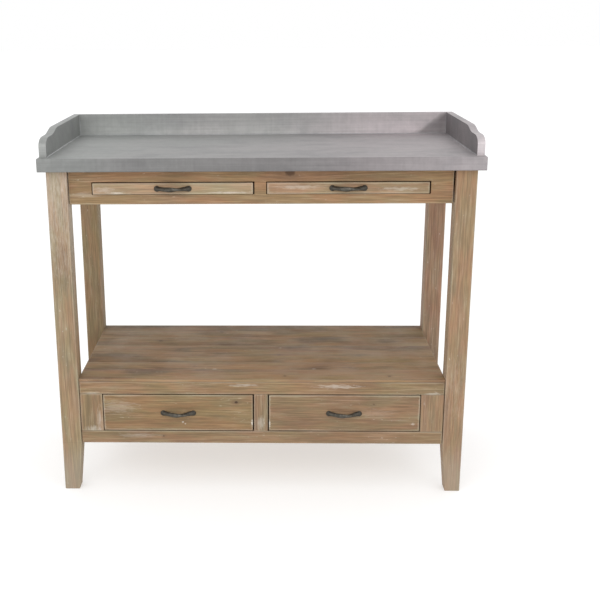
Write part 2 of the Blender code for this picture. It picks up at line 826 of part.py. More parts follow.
def stud_hole(name, parent, across, front_y, centre_z):
    """A cutter for the hole that a pull's stud passes through."""
    mesh = bpy.data.meshes.new(name)
    shape = bmesh.new()
    bmesh.ops.create_cone(
        shape,
        cap_ends=True,
        segments=STUD_HOLE_SEGMENTS,
        radius1=STUD_RADIUS + GAP,
        radius2=STUD_RADIUS + GAP,
        depth=3 * FRONT_THICKNESS,
    )
    shape.to_mesh(mesh)
    shape.free()
    cutter = bpy.data.objects.new(name, mesh)
    cutter.rotation_euler = FACING_Y
    cutter.location = Vector((across, front_y, centre_z)) - parent.location
    return place_cutter(cutter, parent)


def drawer_empty(name, place):
    """The drawer's own frame, at the middle of its face. The drawer slides along this frame's -Y."""
    empty = bpy.data.objects.new(name, None)
    PARTS.objects.link(empty)
    empty.location = place
    return empty


def build_drawer_front(name, row, parent, groove, low_x, high_x):
    """The front board, grooved for the bottom and bored for the studs of the pull that it carries."""
    inner_face = row.face_y + FRONT_THICKNESS
    front = board(
        f"{name}_front",
        (low_x, row.face_y, row.sill + FACE_BOTTOM_GAP),
        (high_x, inner_face, row.sill + row.opening_height - FACE_TOP_GAP),
        row.front_finish,
        parent=parent,
    )
    place = parent.location
    holes = [
        stud_hole(f"{name}_{end}_hole", parent, place.x + sign * PULL_CENTRES / 2, inner_face, place.z)
        for end, sign in SIDES.items()
    ]
    cut(front, groove, *holes)
    pull = add_piece(f"{name}_pull", pull_mesh(f"{name}_pull"), place, "aged_bronze", parent)
    pull.data.shade_smooth()
    pull.data.set_sharp_from_angle(angle=SHARP_ANGLE)


def build_drawer(row, side_name, side):
    """One drawer: front with its pull, sides, back, and a bottom panel in grooves."""
    name = f"{row.name}_{side_name}_drawer"
    middle = side * row.centre
    half_face = row.opening_width / 2 - FACE_SIDE_GAP
    left, right = middle - half_face, middle + half_face
    face_middle = row.sill + (row.opening_height + FACE_BOTTOM_GAP - FACE_TOP_GAP) / 2
    parent = drawer_empty(name, (middle, row.face_y, face_middle))
    inner_face = row.face_y + FRONT_THICKNESS
    rear = row.face_y + row.length
    side_low = row.sill + GAP
    side_high = side_low + row.side_height
    bottom_low = side_low + BOTTOM_LIFT
    bottom_high = bottom_low + DRAWER_BOTTOM
    inner_left, inner_right = left + row.side, right - row.side

    groove = box_cutter(
        f"{name}_groove",
        (inner_left - GROOVE_DEPTH - GAP, inner_face - GROOVE_DEPTH - GAP, bottom_low - GAP),
        (inner_right + GROOVE_DEPTH + GAP, rear + row.length, bottom_high + GAP),
        parent,
    )
    build_drawer_front(name, row, parent, groove, left, right)

    def inner_board(part, low, high):
        return board(f"{name}_{part}", low, high, "drawer_wood", ease=0.0, parent=parent)

    side_front = inner_face + GAP
    left_side = inner_board("left_side", (left, side_front, side_low), (inner_left, rear, side_high))
    right_side = inner_board("right_side", (inner_right, side_front, side_low), (right, rear, side_high))
    cut(left_side, groove)
    cut(right_side, groove)
    inner_board(
        "back",
        (inner_left + GAP, rear - row.side, bottom_high + GAP),
        (inner_right - GAP, rear, side_high),
    )
    inner_board(
        "bottom",
        (inner_left - GROOVE_DEPTH, inner_face - GROOVE_DEPTH, bottom_low),
        (inner_right + GROOVE_DEPTH, rear, bottom_high),
    )


def build_drawers():
    for row in (UPPER_ROW, LOWER_ROW):
        for side_name, side in SIDES.items():
            build_drawer(row, side_name, side)


def build_bench():
    build_tray()
    build_back_board()
    for side_name, side in SIDES.items():
        build_side_board(side_name, side)
    build_frame()
    build_upper_runners()
    build_face_frame()
    build_box_panels()
    build_lower_guides()
    build_drawers()


clear_scene()
PARTS = new_collection("potting_bench")
CUTTERS = new_collection("cutters")
build_bench()
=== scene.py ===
"""The looks of a potting bench: worn, limed softwood under a zinc-clad tray, with cast bronze pulls.

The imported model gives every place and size. Each sub-assembly is a class that builds its meshes and
dresses them, each finish is a frozen dataclass that builds a procedural material, and main() puts them
together. Lengths are metres, +Z is up and the front faces -Y.
"""

import logging
import math
import random
from dataclasses import dataclass, field
from enum import Enum
from typing import Callable, Mapping, Sequence

import bmesh
import bpy
import numpy as np
from mathutils import Matrix, Vector, noise


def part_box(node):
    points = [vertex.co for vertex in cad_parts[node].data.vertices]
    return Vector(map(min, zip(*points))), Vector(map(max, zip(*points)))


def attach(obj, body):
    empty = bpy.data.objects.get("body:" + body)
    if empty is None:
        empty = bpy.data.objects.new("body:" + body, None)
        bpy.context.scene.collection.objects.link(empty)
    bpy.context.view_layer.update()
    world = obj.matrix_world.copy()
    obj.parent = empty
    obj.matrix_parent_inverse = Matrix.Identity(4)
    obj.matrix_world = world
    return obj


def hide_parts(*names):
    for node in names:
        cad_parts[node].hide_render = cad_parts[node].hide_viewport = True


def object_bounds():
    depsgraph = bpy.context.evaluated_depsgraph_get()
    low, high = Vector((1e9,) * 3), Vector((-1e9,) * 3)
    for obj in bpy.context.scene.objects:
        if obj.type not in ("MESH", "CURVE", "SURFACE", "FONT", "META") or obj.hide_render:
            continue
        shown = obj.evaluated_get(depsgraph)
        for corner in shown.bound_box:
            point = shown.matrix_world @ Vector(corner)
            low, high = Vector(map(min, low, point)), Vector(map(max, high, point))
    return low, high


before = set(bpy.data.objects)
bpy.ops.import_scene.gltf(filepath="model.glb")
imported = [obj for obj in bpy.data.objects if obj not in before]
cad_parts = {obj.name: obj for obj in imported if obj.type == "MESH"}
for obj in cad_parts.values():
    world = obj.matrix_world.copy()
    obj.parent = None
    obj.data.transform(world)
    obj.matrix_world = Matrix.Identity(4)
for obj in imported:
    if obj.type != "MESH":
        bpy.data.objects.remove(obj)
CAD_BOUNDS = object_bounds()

LOG = logging.getLogger("potting_bench")
BENCH = "bench"

Colour = tuple[float, float, float]
Section = Callable[[float], tuple[float, float, float, float]]
Socket = bpy.types.NodeSocket


class Axis(Enum):
    """A direction of the frame."""

    X = 0
    Y = 1
    Z = 2


class Material(Enum):
    """The materials, each with its name and the record's slot that it belongs to."""

    WEATHERED = ("weathered_timber", "weathered_wood")
    SHELF = ("shelf_timber", "weathered_wood")
    LIMED = ("limed_timber", "limed_wood")
    DRAWER_FRONT = ("drawer_front_timber", "weathered_wood")
    DRAWER = ("drawer_timber", "drawer_wood")
    CARCASS = ("carcass_timber", "drawer_wood")
    CORE = ("core_timber", "bare_core")
    ZINC = ("dull_zinc", "zinc")
    SOLDER = ("solder", "zinc")
    BRONZE = ("cast_bronze", "aged_bronze")
    STEEL = ("nail_steel", "aged_bronze")

    def __init__(self, label: str, slot: str) -> None:
        """Keep the material's name and its slot."""
        self.label = label
        self.slot = slot


# --- Node trees -------------------------------------------

class Graph:
    """Adds nodes to one tree and joins them."""

    def __init__(self, tree: bpy.types.NodeTree) -> None:
        """Work on a shader or geometry tree."""
        self.tree = tree

    def node(self, kind: str, feeds: Mapping | None = None, **settings: object) -> bpy.types.Node:
        """Add a node.

        Args:
            kind: The node's type name.
            feeds: A socket or a value for each input, by the input's name or number.
            settings: The node's own properties.

        Returns:
            The new node.
        """
        made = self.tree.nodes.new(kind)
        for key, value in settings.items():
            setattr(made, key, value)
        for key, value in (feeds or {}).items():
            self.feed(made.inputs[key], value)
        return made

    def feed(self, socket: Socket, value: object) -> None:
        """Link an output to an input, or set the input's own value.

        Args:
            socket: The input.
            value: A socket, a node, which stands for its first output, or the value.
        """
        if isinstance(value, bpy.types.Node):
            value = value.outputs[0]
        if isinstance(value, bpy.types.NodeSocket):
            self.tree.links.new(value, socket)
        else:
            socket.default_value = value

    def feed_all(self, node: bpy.types.Node, feeds: Mapping[str, object]) -> None:
        """Feed several inputs of a node, by their names."""
        for name, value in feeds.items():
            self.feed(node.inputs[name], value)

    def math(self, operation: str, *values: object, clamp: bool = False) -> Socket:
        """The result of a Math node on one to three values."""
        feeds = dict(enumerate(values))
        return self.node("ShaderNodeMath", feeds, operation=operation, use_clamp=clamp).outputs[0]

    def plus(self, first: object, second: object) -> Socket:
        """The sum of two values."""
        return self.math("ADD", first, second)

    def minus(self, first: object, second: object, clamp: bool = False) -> Socket:
        """The difference of two values, which clamp keeps between 0 and 1."""
        return self.math("SUBTRACT", first, second, clamp=clamp)

    def times(self, first: object, second: object, clamp: bool = False) -> Socket:
        """The product of two values, which clamp keeps between 0 and 1."""
        return self.math("MULTIPLY", first, second, clamp=clamp)

    def over(self, first: object, second: object) -> Socket:
        """The first value divided by the second."""
        return self.math("DIVIDE", first, second)

    def line(self, value: object, slope: object, start: object) -> Socket:
        """A value times a slope, plus a start."""
        return self.math("MULTIPLY_ADD", value, slope, start)

    def squares(self, first: object, second: object) -> Socket:
        """The sum of two values' squares."""
        return self.plus(self.math("POWER", first, 2.0), self.math("POWER", second, 2.0))

    def vector(self, operation: str, *values: object) -> Socket:
        """The result of a Vector Math node."""
        return self.node("ShaderNodeVectorMath", dict(enumerate(values)), operation=operation).outputs[0]

    def parts(self, vector: object) -> Sequence[Socket]:
        """The three numbers of a vector."""
        return self.node("ShaderNodeSeparateXYZ", {0: vector}).outputs

    def joined(self, numbers: Mapping[int, object]) -> Socket:
        """A vector of the numbers given for its axes, and 0 for the others."""
        return self.node("ShaderNodeCombineXYZ", numbers).outputs[0]

    def noise(self, vector: object, scale: float | tuple = 1.0, detail: float = 2.0, rough: float = 0.5,
              distortion: float = 0.0) -> Socket:
        """A noise value from 0 to 1.

        Args:
            vector: Where to read it.
            scale: Its cells per metre, the same every way or one number for each axis.
            detail: Its octaves.
            rough: How strong the finer octaves are.
            distortion: How far it is warped.

        Returns:
            The value's socket.
        """
        if isinstance(scale, tuple):
            vector, scale = self.vector("MULTIPLY", vector, scale), 1.0
        feeds = {"Vector": vector, "Scale": scale, "Detail": detail, "Roughness": rough,
                 "Distortion": distortion}
        return self.node("ShaderNodeTexNoise", feeds).outputs["Fac"]

    def ramp(self, value: object, low: float, high: float, to_low: float = 0.0,
             to_high: float = 1.0) -> Socket:
        """A smooth step of a value from one range to another."""
        feeds = {"Value": value, "From Min": low, "From Max": high, "To Min": to_low, "To Max": to_high}
        return self.node("ShaderNodeMapRange", feeds, interpolation_type="SMOOTHSTEP").outputs[0]

    def mix(self, share: object, first: object, second: object, blend: str = "MIX") -> Socket:
        """A blend of two colours.

        Args:
            share: How much of the second colour there is.
            first: A socket or three numbers.
            second: The same.
            blend: The blend's type name.

        Returns:
            The colour's socket.
        """
        made = self.node("ShaderNodeMix", data_type="RGBA", blend_type=blend)
        self.feed(made.inputs[0], share)
        for socket, colour in ((made.inputs[6], first), (made.inputs[7], second)):
            self.feed(socket, (*colour, 1.0) if isinstance(colour, tuple) else colour)
        return made.outputs[2]

    def shade(self, colour: object, factor: object) -> Socket:
        """A colour multiplied by another."""
        return self.mix(1.0, colour, factor, "MULTIPLY")

    def cover(self, colour: object, mask: object, strength: float, coat: object) -> Socket:
        """A colour with a coat of another over it, as strong as a mask says."""
        return self.mix(self.times(mask, strength), colour, coat)

    def grey(self, value: object) -> Socket:
        """A grey colour of a value."""
        return self.node("ShaderNodeCombineColor", {0: value, 1: value, 2: value}).outputs[0]

    def bump(self, height: object, distance: float, strength: float) -> bpy.types.Node:
        """A Bump node over a height."""
        return self.node("ShaderNodeBump", {"Height": height, "Distance": distance, "Strength": strength})

    def place(self) -> Socket:
        """Where a point lies in the frame."""
        return self.node("ShaderNodeTexCoord").outputs["Object"]

    def attribute(self, name: str, out: str = "Vector") -> Socket:
        """A mesh attribute as a socket."""
        return self.node("ShaderNodeAttribute", attribute_name=name).outputs[out]

    def group(self, tree: bpy.types.NodeTree, **feeds: object) -> bpy.types.Node:
        """A group node, its inputs named with _ for each space."""
        made = self.node("ShaderNodeGroup", node_tree=tree)
        self.feed_all(made, {key.replace("_", " "): value for key, value in feeds.items()})
        return made


SOCKETS = {"value": "NodeSocketFloat", "vector": "NodeSocketVector", "colour": "NodeSocketColor",
           "whole": "NodeSocketInt", "material": "NodeSocketMaterial", "shape": "NodeSocketGeometry"}


class Group:
    """A node group with named inputs and outputs, open for building."""

    def __init__(self, name: str, kind: str, takes: Mapping[str, object], gives: Mapping[str, str]) -> None:
        """Make the group's tree and its sockets.

        Args:
            name: The tree's name.
            kind: The tree's type name.
            takes: For each input, its kind, or a pair of its kind and its default.
            gives: The kind of each output.
        """
        self.tree = bpy.data.node_groups.new(name, kind)
        self.graph = Graph(self.tree)
        for label, given in takes.items():
            sort, default = given if isinstance(given, tuple) else (given, None)
            socket = self.tree.interface.new_socket(name=label, in_out="INPUT", socket_type=SOCKETS[sort])
            if default is not None:
                socket.default_value = default
        for label, sort in gives.items():
            self.tree.interface.new_socket(name=label, in_out="OUTPUT", socket_type=SOCKETS[sort])
        self.takes = self.graph.node("NodeGroupInput").outputs
        self.gives = self.graph.node("NodeGroupOutput").inputs

    def give(self, **sockets: object) -> bpy.types.NodeTree:
        """Feed the group's outputs, named with _ for each space, and return its tree."""
        for key, value in sockets.items():
            self.graph.feed(self.gives[key.replace("_", " ")], value)
        return self.tree


# --- Effects that more than one material uses -------------

class Effects:
    """The shader groups, each built once."""

    def __init__(self) -> None:
        """Build every group."""
        self.figure = self._figure()
        self.arris = self._arris()
        self.knot = self._knot()
        self.smear = self._smear()
        self.dust = self._dust()

    def _figure(self) -> bpy.types.NodeTree:
        """The figure of sawn softwood: growth rings round a pith, fibres, and broad stains."""
        gives = ("Rings", "Fibre", "Streak", "Stain", "Cloud", "Blotch", "Fleck", "Blush", "Height")
        group = Group(
            "timber_figure", "ShaderNodeTree",
            {"Grain": "vector", "Ring Spacing": ("value", 0.005), "Wander": ("value", 0.007)},
            dict.fromkeys(gives, "value"),
        )
        g, grain = group.graph, group.takes["Grain"]
        drift = g.noise(grain, (1.1, 9.0, 9.0))
        waver = g.noise(grain, (5.0, 50.0, 50.0), 1.0)
        parts = g.parts(grain)
        pith = g.math("SQRT", g.squares(parts[1], parts[2]))
        push = g.times(g.minus(drift, 0.5), g.times(group.takes["Wander"], 6.0))
        shake = g.times(g.minus(waver, 0.5), 0.0007)
        radius = g.plus(g.plus(pith, push), shake)
        saw = g.math("FRACT", g.over(radius, group.takes["Ring Spacing"]))
        late = g.times(g.ramp(saw, 0.25, 0.86), g.ramp(saw, 1.0, 0.90))
        strength = g.noise(grain, (2.0, 28.0, 28.0), 2.0, 0.6)
        rings = g.times(late, g.ramp(strength, 0.30, 0.72, 0.35, 1.0))
        fibre = g.noise(grain, (16.0, 900.0, 900.0), 3.0, 0.62)
        streak = g.noise(grain, (11.0, 300.0, 300.0), 4.0, 0.60)
        stain = g.noise(grain, (2.6, 26.0, 26.0), 4.0, 0.58, 0.4)
        cloud = g.noise(grain, (5.5, 13.0, 13.0), 3.0, 0.55, 0.3)
        blotch = g.noise(grain, (9.0, 48.0, 48.0), 5.0, 0.66, 0.4)
        aside = g.vector("ADD", g.vector("MULTIPLY", grain, (8.0, 34.0, 34.0)), (3.7, 1.9, 5.3))
        blush = g.ramp(g.noise(aside, 1.0, 4.0, 0.62, 0.3), 0.36, 0.64)
        speck = g.noise(grain, (75.0, 210.0, 210.0), 2.0, 0.55)
        fleck = g.times(g.ramp(speck, 0.66, 0.74), g.ramp(blotch, 0.46, 0.62))
        height = g.plus(g.times(rings, 0.35), g.plus(g.times(fibre, 0.50), g.times(streak, 0.45)))
        return group.give(Rings=rings, Fibre=fibre, Streak=streak, Stain=stain, Cloud=cloud, Blotch=blotch,
                          Fleck=fleck, Blush=blush, Height=height)

    def _arris(self) -> bpy.types.NodeTree:
        """A ragged mask along the arrises of a board, from where a point lies between its faces."""
        group = Group(
            "board_arris", "ShaderNodeTree",
            {"Place": "vector", "Half": "vector", "Grain": "vector", "Width": ("value", 0.004)},
            {"Mask": "value", "Seam": "value"},
        )
        g, grain = group.graph, group.takes["Grain"]
        inset = g.parts(g.vector("SUBTRACT", group.takes["Half"], g.vector("ABSOLUTE", group.takes["Place"])))
        least = g.math("MINIMUM", g.math("MINIMUM", inset[0], inset[1]), inset[2])
        most = g.math("MAXIMUM", g.math("MAXIMUM", inset[0], inset[1]), inset[2])
        total = g.plus(g.plus(inset[0], inset[1]), inset[2])
        nearest = g.minus(g.minus(total, least), most)
        ragged = g.noise(grain, (40.0, 160.0, 160.0), 3.0, 0.65)
        worn = g.noise(grain, (7.0, 12.0, 12.0))
        reach = g.times(group.takes["Width"], g.line(ragged, 2.2, -0.1))
        share = g.minus(1.0, g.over(nearest, reach), clamp=True)
        seam = g.minus(1.0, g.over(nearest, g.times(ragged, 0.0024)), clamp=True)
        return group.give(Mask=g.times(share, g.ramp(worn, 0.32, 0.62, 0.25, 1.0)), Seam=seam)

    def _knot(self) -> bpy.types.NodeTree:
        """A knot: the grain flows round it, its heart is dark, and a paler halo lies about it."""
        group = Group(
            "knot", "ShaderNodeTree",
            {"Grain": "vector", "Centre": "vector", "Radius": ("value", 0.005)},
            {"Grain": "vector", "Heart": "value", "Halo": "value"},
        )
        g, grain, radius = group.graph, group.takes["Grain"], group.takes["Radius"]
        along, across, _ = g.parts(g.vector("SUBTRACT", grain, group.takes["Centre"]))
        rough = g.noise(grain, (160.0, 260.0, 260.0), 2.0, 0.6)
        reach = g.math("SQRT", g.squares(g.times(along, 0.72), across))
        far = g.over(g.times(reach, g.line(rough, 0.7, 0.65)), radius)
        flow = g.over(g.squares(g.times(along, 0.28), across), g.math("POWER", g.times(radius, 2.6), 2.0))
        bend = g.times(g.math("EXPONENT", g.times(flow, -1.0)), -0.72)
        bent = g.vector("ADD", grain, g.joined({1: g.times(across, bend)}))
        return group.give(Grain=bent, Heart=g.ramp(far, 1.15, 0.55), Halo=g.ramp(far, 3.4, 0.9))

    def _smear(self) -> bpy.types.NodeTree:
        """A ragged smear round a place, longer one way than the other."""
        group = Group(
            "lime_smear", "ShaderNodeTree",
            {"Grain": "vector", "Centre": "vector", "Reach": ("vector", (0.01, 0.003, 1.0)),
             "Ragged": ("value", 1.0)},
            {"Mask": "value"},
        )
        g, grain = group.graph, group.takes["Grain"]
        offset = g.vector("SUBTRACT", grain, group.takes["Centre"])
        along, across, _ = g.parts(g.vector("DIVIDE", offset, group.takes["Reach"]))
        far = g.math("SQRT", g.squares(along, across))
        ragged = g.noise(grain, (60.0, 420.0, 420.0), 4.0, 0.7)
        broken = g.times(g.line(ragged, -3.2, 1.6), group.takes["Ragged"])
        return group.give(Mask=g.ramp(g.plus(far, broken), 1.0, 0.1))

    def _dust(self) -> bpy.types.NodeTree:
        """A thin uneven film of dust on what faces up."""
        group = Group(
            "settled_dust", "ShaderNodeTree", {"Place": "vector", "Amount": ("value", 0.3)},
            {"Mask": "value"},
        )
        g = group.graph
        facing = g.parts(g.node("ShaderNodeNewGeometry").outputs["Normal"])
        cloud = g.noise(group.takes["Place"], 9.0, 6.0, 0.62)
        film = g.times(g.ramp(cloud, 0.35, 0.75), group.takes["Amount"])
        return group.give(Mask=g.times(film, g.ramp(facing[2], 0.55, 0.95)))

    def dusted(self, g: Graph, colour: Socket, place: Socket, amount: float, dust: Colour) -> Socket:
        """A colour under a film of dust, which lies on what faces up."""
        return g.mix(g.group(self.dust, Place=place, Amount=amount), colour, dust)


# --- Finishes ---------------------------------------------

GRAIN = "grain"             # where a point lies along, across and through its board
PLACE = "from_middle"       # where it lies from the board's middle
HALF = "half_size"          # half of the board's size
TINT = "board_tint"         # what the board's colour is multiplied by, next to its neighbours
TARNISH_AND_PAINTED_LIGHT = "tarnish_and_painted_light"         # what the zinc's brightness is multiplied by: its tarnish, with painted shade, highlights and reflection
WORN_AND_HIGHLIGHT = "worn"               # how much a casting is rubbed bright, with a painted highlight on faces turned up and forward, 0 to 1


class GrainSource(Enum):
    """Where a timber reads its grain from."""

    BOARD = "the board's own attributes"
    PLACE = "the place in the frame"


@dataclass(frozen=True)
class Spot:
    """A place on a board's face.

    Attributes:
        node: The CAD node of the board.
        along: Its place along the grain, as a share of the node's length.
        across: Its place across the grain, as a share of the node's width.
        strength: How strong the mark is.
    """

    node: str
    along: float
    across: float
    strength: float


@dataclass(frozen=True)
class Knot(Spot):
    """A knot.

    Attributes:
        radius: The radius of its heart.
    """

    radius: float = 0.004


LIME = (0.66, 0.61, 0.54)
DIRT = (0.115, 0.080, 0.055)
KNOT_HEART = (0.045, 0.022, 0.014)
FLOOR_SCUFFS = (0.36, 0.315, 0.26)
DUST = (0.55, 0.52, 0.47)
METAL_DUST = (0.48, 0.47, 0.46)
CASTING_DUST = (0.30, 0.28, 0.26)
CASTING_BLOOM = (0.060, 0.040, 0.026)


@dataclass(frozen=True)
class Smear(Spot):
    """A smear of lime or dirt.

    Attributes:
        reach: How far it reaches along and across the grain from its middle.
        ragged: How broken it is, from 0, even, to 1.
        colour: Its colour.
    """

    reach: tuple[float, float] = (0.01, 0.003)
    ragged: float = 1.0
    colour: Colour = LIME


@dataclass(frozen=True)
class TimberFinish:
    """A softwood finish, from bare to washed with lime.

    Attributes:
        early: The colour between the growth rings.
        late: The colour of the rings.
        stain: The colour of the broad darker stains.
        lime: The colour of the lime left on it.
        olive: What the colour is multiplied by where it is greenest.
        ruddy: What it is multiplied by where it is reddest.
        rings: How strong the rings are.
        staining: How strong the stains are.
        contrast: How strong the fine fibres and streaks are.
        veil: How much lime lies over the faces.
        flecks: How strong the small flecks of lime are.
        edge_lime_and_highlight: How much lime lies on the arrises, which also paints their highlights.
        edge_width: How far from an arris it reaches.
        roughness: The least roughness.
        scuffed: How grey the wood is near the floor.
        source: Where the grain is read from.
        along: The grain's direction, for a grain read from the place.
    """

    early: Colour = (0.315, 0.209, 0.115)
    late: Colour = (0.205, 0.124, 0.060)
    stain: Colour = (0.150, 0.098, 0.062)
    lime: Colour = (0.455, 0.390, 0.300)
    olive: Colour = (0.950, 1.020, 0.975)
    ruddy: Colour = (1.050, 0.965, 0.955)
    rings: float = 0.34
    staining: float = 0.50
    contrast: float = 1.0
    veil: float = 0.58
    flecks: float = 0.45
    edge_lime_and_highlight: float = 0.60
    edge_width: float = 0.004
    roughness: float = 0.62
    scuffed: float = 0.0
    source: GrainSource = GrainSource.BOARD
    along: Axis = Axis.X

    def build(self, material: bpy.types.Material, effects: Effects,
              spots: Sequence[tuple[Spot, Vector]] = ()) -> None:
        """Build the nodes of a new material.

        Args:
            material: The material.
            effects: The shared shader groups.
            spots: The knots and smears, each with its centre in grain coordinates.
        """
        g, shader = open_material(material)
        place = g.place()
        straight = self._grain(g, place)
        grain, knots = straight, []
        for spot, centre in spots:
            if isinstance(spot, Knot):
                knot = g.group(effects.knot, Grain=grain, Centre=tuple(centre), Radius=spot.radius)
                grain = knot.outputs["Grain"]
                knots.append((spot, knot.outputs))
        figure = g.group(effects.figure, Grain=grain).outputs
        colour = g.cover(self.early, figure["Rings"], self.rings, self.late)
        smudged = g.plus(g.times(g.ramp(figure["Stain"], 0.44, 0.74), 0.55),
                         g.times(g.ramp(figure["Cloud"], 0.46, 0.70), 0.60))
        colour = g.mix(g.times(smudged, self.staining, clamp=True), colour, self.stain)
        fine = g.plus(g.ramp(figure["Fibre"], 0.30, 0.72, -0.13, 0.12),
                      g.ramp(figure["Streak"], 0.34, 0.68, -0.22, 0.19))
        colour = g.shade(colour, g.grey(g.line(fine, self.contrast, 1.0)))
        colour = self._limed(g, effects, colour, grain, figure)
        colour = g.shade(colour, g.mix(figure["Blush"], self.olive, self.ruddy))
        for spot, knot in knots:
            colour = g.cover(colour, knot["Halo"], spot.strength * 0.48, self.stain)
            colour = g.cover(colour, knot["Heart"], spot.strength, KNOT_HEART)
        for spot, centre in spots:
            if isinstance(spot, Smear):
                smear = g.group(effects.smear, Grain=straight, Centre=tuple(centre), Reach=(*spot.reach, 1.0),
                                Ragged=spot.ragged)
                colour = g.cover(colour, smear, spot.strength, spot.colour)
        if self.scuffed:
            colour = g.cover(colour, g.ramp(g.parts(place)[2], 0.15, 0.05), self.scuffed, FLOOR_SCUFFS)
        dull = g.line(figure["Fibre"], 0.20, self.roughness)
        g.feed_all(shader, {
            "Base Color": effects.dusted(g, colour, place, 0.16, DUST),
            "Roughness": g.line(figure["Rings"], -0.08, dull),
            "Specular IOR Level": 0.32,
            "Normal": g.bump(figure["Height"], 0.00035, 0.55),
        })

    def _grain(self, g: Graph, place: Socket) -> Socket:
        """The grain coordinate.

        Args:
            g: The material's graph.
            place: Where a point lies in the frame.

        Returns:
            The board's own coordinate, or the place with its axes put in the grain's order.
        """
        if self.source is GrainSource.BOARD:
            return g.attribute(GRAIN)
        parts = g.parts(place)
        turned = g.joined({axis: parts[(self.along.value + axis) % 3] for axis in range(3)})
        return g.vector("ADD", turned, (0.0, 0.061, 0.043))

    def _limed(self, g: Graph, effects: Effects, colour: Socket, grain: Socket,
               figure: Mapping[str, Socket]) -> Socket:
        """Leave lime over a colour in patches, in its pores, and on its arrises, where it also paints their
        highlights.

        Args:
            g: The material's graph.
            effects: The shared shader groups.
            colour: The colour of the bare wood.
            grain: The grain coordinate.
            figure: The outputs of the timber's figure.

        Returns:
            The limed colour.
        """
        patch = g.ramp(figure["Blotch"], 0.40, 0.74)
        pores = g.ramp(figure["Streak"], 0.50, 0.64)
        cover = g.times(g.line(pores, 0.70, 0.30), patch)
        colour = g.cover(colour, g.line(cover, 0.88, 0.12), self.veil, self.lime)
        colour = g.cover(colour, figure["Fleck"], self.flecks, LIME)
        if self.source is GrainSource.PLACE:
            return colour
        colour = g.shade(colour, g.attribute(TINT, "Color"))
        arris = g.group(effects.arris, Place=g.attribute(PLACE), Half=g.attribute(HALF), Grain=grain,
                        Width=self.edge_width)
        # Lime on the arrises, which also serves as a painted highlight along them.
        colour = g.cover(colour, arris.outputs["Mask"], self.edge_lime_and_highlight, self.lime)
        return g.cover(colour, arris.outputs["Seam"], 0.60, self.stain)


@dataclass(frozen=True)
class ZincFinish:
    """Dull zinc sheet: clouded, faintly brushed, its tint drifting from one end to the other.

    Attributes:
        cool: The colour at the left end.
        warm: The colour at the right end.
        dark: The colour of the darker clouds.
        length: The length over which the tint drifts.
        roughness: The least roughness.
        clouding: How strong the clouds are.
    """

    cool: Colour = (0.374, 0.384, 0.374)
    warm: Colour = (0.440, 0.404, 0.412)
    dark: Colour = (0.255, 0.258, 0.268)
    length: float = 1.0
    roughness: float = 0.42
    clouding: float = 0.38

    def build(self, material: bpy.types.Material, effects: Effects) -> None:
        """Build the nodes of a new material.

        Args:
            material: The material.
            effects: The shared shader groups.
        """
        g, shader = open_material(material)
        place = g.place()
        drift = g.plus(g.over(g.parts(place)[0], self.length), g.noise(place, 2.2))
        cloud = g.noise(place, (5.0, 9.0, 9.0), 5.0, 0.60, 0.5)
        mottle = g.noise(place, 46.0, 4.0, 0.65, 0.3)
        brush = g.noise(place, (160.0, 160.0, 9.0), 3.0, 0.6)
        streak = g.noise(place, (4.0, 240.0, 240.0), 3.0, 0.6)
        colour = g.mix(g.ramp(drift, 0.05, 0.95), self.cool, self.warm)
        colour = g.cover(colour, g.ramp(cloud, 0.42, 0.72), self.clouding, self.dark)
        brushed = g.line(g.plus(g.times(brush, 0.5), streak), 0.36, -0.25)
        grey = g.plus(g.ramp(mottle, 0.30, 0.70, 0.92, 1.03), brushed)
        # The zinc's brightness is multiplied by its tarnish and by painted shade, highlights and a painted
        # reflection.
        colour = g.shade(colour, g.grey(g.times(grey, g.attribute(TARNISH_AND_PAINTED_LIGHT, "Fac"))))
        height = g.plus(g.times(brush, 0.25), g.plus(g.times(mottle, 0.30), g.times(streak, 0.25)))
        g.feed_all(shader, {
            "Base Color": effects.dusted(g, colour, place, 0.10, METAL_DUST),
            "Roughness": g.line(mottle, 0.10, g.line(cloud, 0.22, self.roughness)),
            "Metallic": 0.80,
            "Normal": g.bump(height, 0.00025, 0.35),
        })


@dataclass(frozen=True)
class CastFinish:
    """A casting: dark in its hollows, rubbed paler where fingers reach, with painted highlights where it
    faces up and forward.

    Attributes:
        body: The colour of the dark patina.
        rubbed: The colour where it is rubbed, also used for its painted highlights.
        roughness: The least roughness.
    """

    body: Colour = (0.068, 0.062, 0.052)
    rubbed: Colour = (0.190, 0.180, 0.155)
    roughness: float = 0.36

    def build(self, material: bpy.types.Material, effects: Effects) -> None:
        """Build the nodes of a new material.

        Args:
            material: The material.
            effects: The shared shader groups.
        """
        g, shader = open_material(material)
        place = g.place()
        pits = g.noise(place, 900.0, 4.0, 0.6)
        bloom = g.noise(place, 130.0, 3.0, 0.6)
        # Rubbed metal and painted highlights, as the mesh attribute says.
        rub_and_highlight = g.times(g.attribute(WORN_AND_HIGHLIGHT, "Fac"), g.ramp(bloom, 0.30, 0.66))
        colour = g.mix(rub_and_highlight, self.body, self.rubbed)
        colour = g.cover(colour, g.ramp(bloom, 0.58, 0.80), 0.35, CASTING_BLOOM)
        g.feed_all(shader, {
            "Base Color": effects.dusted(g, colour, place, 0.06, CASTING_DUST),
            "Roughness": g.line(pits, 0.28, self.roughness),
            "Metallic": 0.85,
            "Normal": g.bump(pits, 0.00012, 0.5),
        })


